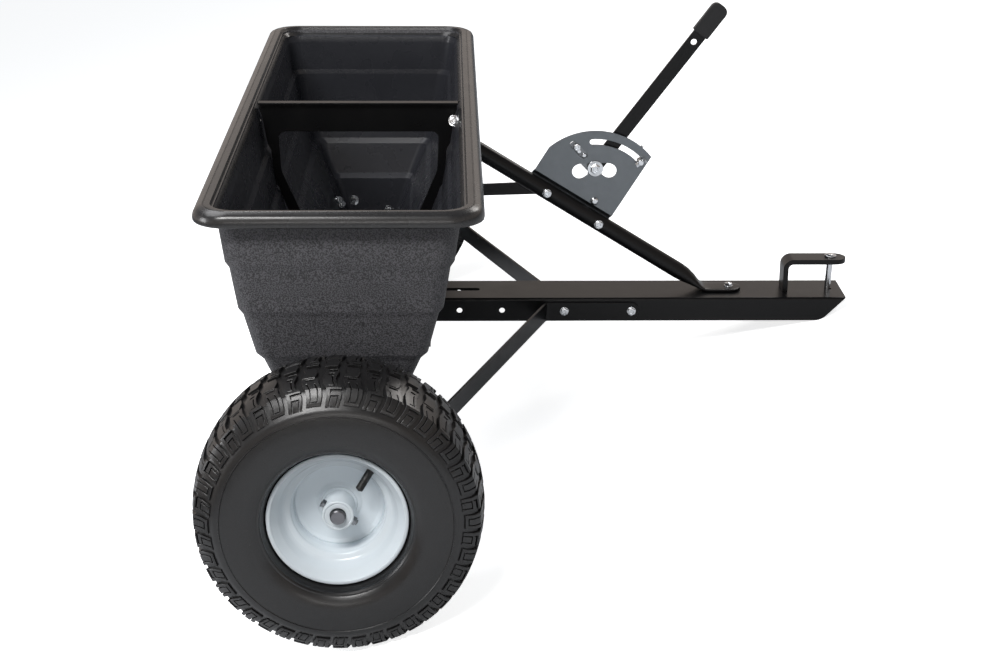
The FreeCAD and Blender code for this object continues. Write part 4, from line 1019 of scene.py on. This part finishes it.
def slot_ring(a, b, half, steps=10):
    """Points round a straight slot with round ends."""
    turn = math.degrees(math.atan2(b[1] - a[1], b[0] - a[0]))
    ends = [polar(half, turn + 90 + 180 * k / steps, a) for k in range(steps + 1)]
    return ends + [polar(half, turn - 90 + 180 * k / steps, b) for k in range(steps + 1)]


def arc_ring(r, start, stop, half, swell=0.0, steps=24):
    """Points round a curved slot with round ends that are wider by a swell."""
    def half_at(angle):
        share = abs(2 * angle - start - stop) / (stop - start)
        return half + swell * min(1.0, max(0.0, 2.2 * share - 0.9))

    turns = [start + (stop - start) * k / steps for k in range(steps + 1)]
    ring = [polar(r + half_at(a), a) for a in turns]
    middle = polar(r, stop)
    ring += [polar(half + swell, stop + 180 * k / 10, middle) for k in range(1, 10)]
    ring += [polar(r - half_at(a), a) for a in reversed(turns)]
    middle = polar(r, start)
    return ring + [polar(half + swell, start + 180 + 180 * k / 10, middle)
                   for k in range(1, 10)]


def along_tube(corner, offset):
    """The spot beside a corner at an offset square to the tube."""
    up = Vector((math.sin(lean_down), math.cos(lean_down)))
    gap = (Vector(corner) - Vector((corner[0], tube_z(corner[0])))).dot(up)
    return tuple(Vector(corner) + up * (offset - gap))


print("quadrant: tube falls", round(math.degrees(lean_down), 1), "degrees below it")

# %% Quadrant sheet
sheet_r = 112.5
tooth_r = sheet_r + 3.5
teeth = [(sheet_r, 49.3), (tooth_r, 49.6), (sheet_r, 50.375), (tooth_r, 51.0),
         (sheet_r, 51.3)]
arc = [(sheet_r, 39 + 91 * k / 40) for k in range(41)]
arc = [p for p in arc if p[1] < 49.3] + teeth + [p for p in arc if p[1] > 51.3]
outline = [polar(r, a) for r, a in arc]
foot_line = [along_tube(outline[-1], 18.5), along_tube(outline[0], 18.5)]
rings = [outline + foot_line, arc_ring(95, 42, 93, 4.5),
         arc_ring(53.5, 65.5, 117.5, 8.5, swell=3.0),
         slot_ring((333.4, 288), (350.4, 271.2), 5.5)]
bm = bmesh.new()
edges = []
for ring in rings:
    verts = [bm.verts.new((x, sheet_y, z)) for x, z in ring]
    edges += [bm.edges.new(pair) for pair in zip(verts, verts[1:] + verts[:1])]
bmesh.ops.triangle_fill(bm, use_beauty=True, use_dissolve=False, edges=edges)
lower = [e for e in bm.edges
         if all(min((Vector((v.co.x, v.co.z)) - Vector(p)).length for p in foot_line) < 0.01
                for v in e.verts)]
up = Vector((math.sin(lean_down), 0, math.cos(lean_down)))
for move in (Vector((0, 8, 0)) - up * 6, -up * 25):
    made = bmesh.ops.extrude_edge_only(bm, edges=lower)["geom"]
    moved = of_kind(made, bmesh.types.BMVert)
    bmesh.ops.translate(bm, verts=moved, vec=move)
    lower = [e for e in of_kind(made, bmesh.types.BMEdge)
             if all(v in moved for v in e.verts)]
bmesh.ops.recalc_face_normals(bm, faces=bm.faces)
if sum(f.normal.y * f.calc_area() for f in bm.faces) > 0:
    bmesh.ops.reverse_faces(bm, faces=bm.faces)
sheet = piece("quadrant_sheet", bm, "chassis", zinc_sheet, ["quadrant_plate"])
sheet_t_m = 0.003
broken_edge_m = 0.0004
thick = sheet.modifiers.new("sheet", "SOLIDIFY")
thick.thickness = sheet_t_m
thick.offset = -1
broken = sheet.modifiers.new("broken edges", "BEVEL")
broken.width = broken_edge_m
broken.segments = 2
broken.angle_limit = math.radians(25)
even_normals(sheet)
print("quadrant sheet:", len(sheet.data.polygons), "faces before its thickness")

# %% [markdown]
# ## Fixings of the quadrant and the lever
#
# Two bolts clamp the sheet to the tube, small screws hold the index, the lever turns on a
# domed rivet, and a hex bolt at its knee runs in the curved slot.  A wing bolt sets how
# far the lever may go.  They could all be one mesh, but each belongs to the drawn bolt
# that it stands for, and the knee's bolt has to swing with the lever.

# %% Quadrant bolts and index screws
bm = bmesh.new()
for x in (292.5, 374.3):
    z = tube_z(x)
    shank(bm, (x, -14, z), (x, 17, z), bolt_r)
    bolt_head(bm, (x, -13, z), (0, -1, 0), 6.8, 5, 7.0)
    bolt_head(bm, (x, 16, z), (0, 1, 0), 6.8, 2)
zinc_piece("quadrant_bolt_set", bm, "chassis", ["quadrant_bolts"])

bm = bmesh.new()
shank(bm, (339, 6.5, 284.5), (339, 3, 284.5), 3.6)
bolt_head(bm, (339, 5.5, 284.5), (0, -1, 0), 6.2, 5)
button = rounded_path([(0, 0, 0), (3.6, 0, 1), (3.6, 2.6, 1.4), (0, 2.6, 0)])
for x, z in ((342.5, 277.0), (350.5, 270.5)):
    spun(bm, button, (x, 8.0, z), (0, -1, 0), steps=20)
zinc_piece("index_screws", bm, "chassis")
print("quadrant fixings: 4 bolt heads and 3 screws")

# %% Pivot, knee bolt and wing bolt
bm = bmesh.new()
shank(bm, (pivot.x, pivot_back, pivot.z), (pivot.x, 3, pivot.z), bolt_r)
dome = rounded_path([(0, 0.2, 0), (4.2, 0.6, 3), (6.4, 3.2, 2), (6.5, 5.0, 0), (0, 5, 0)])
spun(bm, dome, (pivot.x, 0, pivot.z), (0, 1, 0), steps=36)
zinc_piece("pivot_rivet", bm, "chassis", ["pivot_bolt"])

knee, knee_back = bolt_place("guide_bolt")
bm = bmesh.new()
shank(bm, (knee.x, knee_back, knee.z), (knee.x, 2, knee.z), bolt_r)
washer = rounded_path([(0, 2.5, 0), (12.4, 2.5, 0.4), (12.4, 4.5, 0.4), (0, 4.5, 0)])
spun(bm, washer, (knee.x, 0, knee.z), (0, 1, 0), steps=48)
bolt_head(bm, (knee.x, 2.5, knee.z), (0, -1, 0), 8.4, 6.4)
zinc_piece("guide_hex_bolt", bm, "flow_lever", ["guide_bolt"])

thumb, thumb_back = bolt_place("stop_bolt")
bm = bmesh.new()
shank(bm, (thumb.x, thumb_back, thumb.z), (thumb.x, -2, thumb.z), 3.0)
bolt_head(bm, (thumb.x, 8.2, thumb.z), (0, 1, 0), 6.4, 5)
boss = rounded_path([(0, -4, 0), (4.4, -4, 1), (5.4, 4.9, 0.5), (0, 4.9, 0)])
spun(bm, boss, (thumb.x, 0, thumb.z), (0, 1, 0), steps=24)
for lean in (0.5, 0.5 + math.pi):
    away = Vector((math.cos(lean), 0, math.sin(lean)))
    wing = Matrix.Translation(Vector((thumb.x, -2.6, thumb.z)) + away * 5.6)
    wing = wing @ Matrix.Rotation(-lean, 4, "Y") @ Matrix.Rotation(-0.5, 4, "Z")
    wing = wing @ Matrix.Diagonal((7, 1.8, 7.5, 1))
    made = bmesh.ops.create_cube(bm, size=1, matrix=wing)
    round_off(bm, list({e for v in made["verts"] for e in v.link_edges}), 0.8)
zinc_piece("thumb_bolt", bm, "chassis", ["stop_bolt"])
print("lever fixings: 3")

# %% [markdown]
# ## Pin, cross bolt and the screws inside
#
# The hitch is closed by a loose drop pin with a domed head.  A cross bolt drives the near
# hub, and a few screws and a bush ring show inside the hopper.  All are turned or hex
# shapes again, so the spinner and the bolt recipe make them.  The pin leans a little in
# its wide hole, as a loose pin does, and rides on its own body because it lifts out.

# %% Drop pin
low, high = level_box("hitch_pin")
drop = (low + high) / 2
top = Vector((drop.x + 0.5, 0, high.z - 5))
tip = Vector((drop.x - 2.5, 0, low.z))
reach = (top - tip).length
bm = bmesh.new()
path = [(0, 0, 0), (3.4, 0, 1), (4.8, 3, 1), (4.8, reach, 0.3), (9.4, reach, 0.6),
        (9.4, reach + 2.6, 0.8), (5.5, reach + 4.6, 3), (0, reach + 4.9, 0)]
spun(bm, rounded_path(path), tip, top - tip, steps=36)
piece("drop_pin", bm, body_of["hitch_pin"], bright_zinc,
      ["hitch_pin"])
print("drop pin:", round(reach), "mm below its head")

# %% Cross bolt through the driven hub
cross_turn = math.radians(-32.6)
lean = Vector((math.cos(cross_turn), 0, math.sin(cross_turn)))
middle = Vector((0, near_y - hub_half_l + 12, 0))
bm = bmesh.new()
shank(bm, middle - lean * (hub_r + 1), middle + lean * (hub_r + 7.5), 3.6)
bolt_head(bm, middle - lean * hub_r, -lean, 5.6, 4.5)
bolt_head(bm, middle + lean * hub_r, lean, 6.0, 5)
zinc_piece("hub_cross_bolt", bm, "axle_and_near_wheel", ["cross_bolt"], dark_zinc)
print("cross bolt: 2 ends")

# %% Fixings inside the hopper
bm = bmesh.new()
far_wall_y = 547.2
for x, z in ((-36, 44), (28, 24)):
    bolt_head(bm, (x, far_wall_y, z), (0, -1, 0), 6.6, 5, 9.5)
bush = rounded_path([(14, 0, 0), (14, 6, 1), (19, 6, 1.5), (19, 0, 0)], closed=True)
spun(bm, bush, (0, far_wall_y, 2), (0, -1, 0), closed=True)
for x, y, z in ((-59, 466, 67), (-54, 469, 58)):
    shank(bm, (x - 2, y + 3.5, z - 1), (x, y, z), 3.5)
    bolt_head(bm, (x, y, z), (0.5, -0.85, 0.25), 5.8, 5, 7.0)
bolt_head(bm, (148, -3.2, 328), (0, -1, 0.25), 7.2, 6, 9.0)
bolt_head(bm, (-152, -3.0, 328), (0, -1, 0.1), 3.6, 3)
zinc_piece("hopper_fixings", bm, "chassis")
print("hopper fixings: 6 bolts and a bush ring")

# %% [markdown]
# ## Support tube
#
# The quadrant stands on a round tube whose two ends are pressed flat: one is bolted to
# the hopper and one to the tow bar.  Flattening a modelled tube would need a simulation,
# but a press keeps the wall's length, so each section is an ellipse that gets wider and
# more box-like as it gets thinner, and the sections are lofted along the tube's line.

# %% Flattened tube
foot_z_middle = 55.6
flat_half_w = 19
flat_half_t = 2.6
tube_facets = 40
tube_stations = [
    # X, Z, direction in degrees, half width, half thickness, boxiness
    (159.2, 331, -100, 17, 2.2, 0.4), (159.0, 329.5, -100, 19, 2.6, 0.4),
    (156.4, 314, -99, 19, 2.6, 0.4), (156.4, 305, -86, 18.6, 3.4, 0.5),
    (160.5, 296.6, -56, 17, 6.5, 0.7), (169.5, 290.2, -37, 14.5, 11, 0.9),
    (184.0, 282.1, -31.8, 13, 13, 1.0), (340.0, 185.4, -31.8, 13, 13, 1.0),
    (503.0, 84.3, -31.8, 13, 13, 1.0), (513.0, 78.0, -33, 13.4, 12, 0.95),
    (524.0, 70.6, -37, 14.8, 9, 0.85), (533.0, 63.9, -37, 16.8, 5.4, 0.65),
    (540.0, 59.2, -25, 18.3, 3.4, 0.5), (547.0, 56.4, -8, 19, 2.7, 0.4),
    (554.0, foot_z_middle, 0, flat_half_w, flat_half_t, 0.4),
    (foot_bolt_x, foot_z_middle, 0, flat_half_w, flat_half_t, 0.4),
]
for turned in (20, 40, 58, 72, 82):
    # The flat end is cut round about its bolt.
    share = math.radians(turned)
    tube_stations.append((foot_bolt_x + flat_half_w * math.sin(share), foot_z_middle, 0,
                          flat_half_w * math.cos(share), flat_half_t, 0.4))


def tube_ring(x, z, direction, half_w, half_t, box):
    """One section of the tube, square to its line."""
    slope = math.radians(direction)
    rise = Vector((-math.sin(slope), 0, math.cos(slope)))
    points = []
    for k in range(tube_facets):
        turn = math.tau * k / tube_facets
        c, s = math.cos(turn), math.sin(turn)
        wide = math.copysign(abs(c) ** box, c) * half_w
        deep = math.copysign(abs(s) ** box, s) * half_t
        points.append(Vector((x, wide, z)) + rise * deep)
    return points


bm = bmesh.new()
lofted(bm, [tube_ring(*station) for station in tube_stations])
bmesh.ops.holes_fill(bm, edges=[e for e in bm.edges if e.is_boundary], sides=0)
bmesh.ops.recalc_face_normals(bm, faces=bm.faces)
piece("quadrant_tube", bm, "chassis", black_paint, ["support_tube"],
      sharp=50)
print("support tube:", len(tube_stations), "sections")

# %% [markdown]
# ## Plain steel pieces
#
# What is left is flat bar, folded sheet and plain turned parts, whose drawn shape is
# right.  They are softened copies.  Four of them are eased by a few millimetres first, so
# that they follow the moulded wall and stay clear of each other over the lever's swing:
# moving a few points of a copy is simpler than drawing the piece again.

# %% Pieces eased to their neighbours
eased_below = 345
leg_ease = 1.04
window_ease = 1.1
leg_w = 16
mount_top_move = Vector((-9.0, 0, -25.0))
mount_forward = 4.5
arm_cut = 9
link_slim = 0.86


def reshaped(node, move, coat=black_paint):
    """A softened copy of a drawn solid whose points are moved first."""
    return softened(node, body_of[node], coat, move=move)


def brace_fit(bm):
    """Widens the brace's legs and window to follow the moulded tiers."""
    for v in bm.verts:
        below = [half_x for z, half_x, half_y in outside_tiers if z < v.co.z + 1]
        tier_x = below[-1] if below else 30
        if v.co.z < eased_below:
            v.co.x *= leg_ease if abs(v.co.x) > tier_x - leg_w else window_ease


def mount_fit(bm):
    """Ends the mount's plate below the moulded ledge and clear of the wall."""
    for v in bm.verts:
        if v.co.z > 100:
            v.co += mount_top_move
        if v.co.z > 70:
            v.co.x += mount_forward


arm_lean = math.radians(134)
arm_run = Vector((math.cos(arm_lean), 0, math.sin(arm_lean)))


def arm_fit(bm):
    """Shortens the index arm, which would meet the joggle at the lever's rear stop."""
    for v in bm.verts:
        if (v.co - knee).dot(arm_run) > 40:
            v.co -= arm_run * arm_cut


def link_fit(bm):
    """Slims the link's rear end round its hole, next to the hopper's ledge."""
    eye = Vector((152, 209.5))
    for v in bm.verts:
        away = Vector((v.co.x, v.co.z)) - eye
        if away.x < 12 and away.length > 7.5:
            v.co.z = eye.y + away.y * link_slim
            v.co.x = eye.x + min(away.x, away.x * link_slim)


softened("tow_bar", "chassis", black_paint, fold=4.0)
reshaped("centre_brace", brace_fit)
reshaped("bar_mount", mount_fit)
reshaped("index_arm", arm_fit, dark_zinc)
reshaped("flow_link", link_fit, coats[slot_of["flow_link"]])
print("eased: 4 pieces, and the tow bar with round folds")

# %% Every other drawn piece, softened
grip_round = 3.5
done = {name for name in frame["nodes"] if frame["nodes"][name].hide_render}
for name in sorted(set(frame["nodes"]) - done):
    edge, segments = (grip_round, 4) if name == "lever_grip" else (0.5, 2)
    softened(name, body_of[name], coats[slot_of[name]], edge,
             segments=segments)
print("softened:", len(frame["nodes"]) - len(done), "pieces")
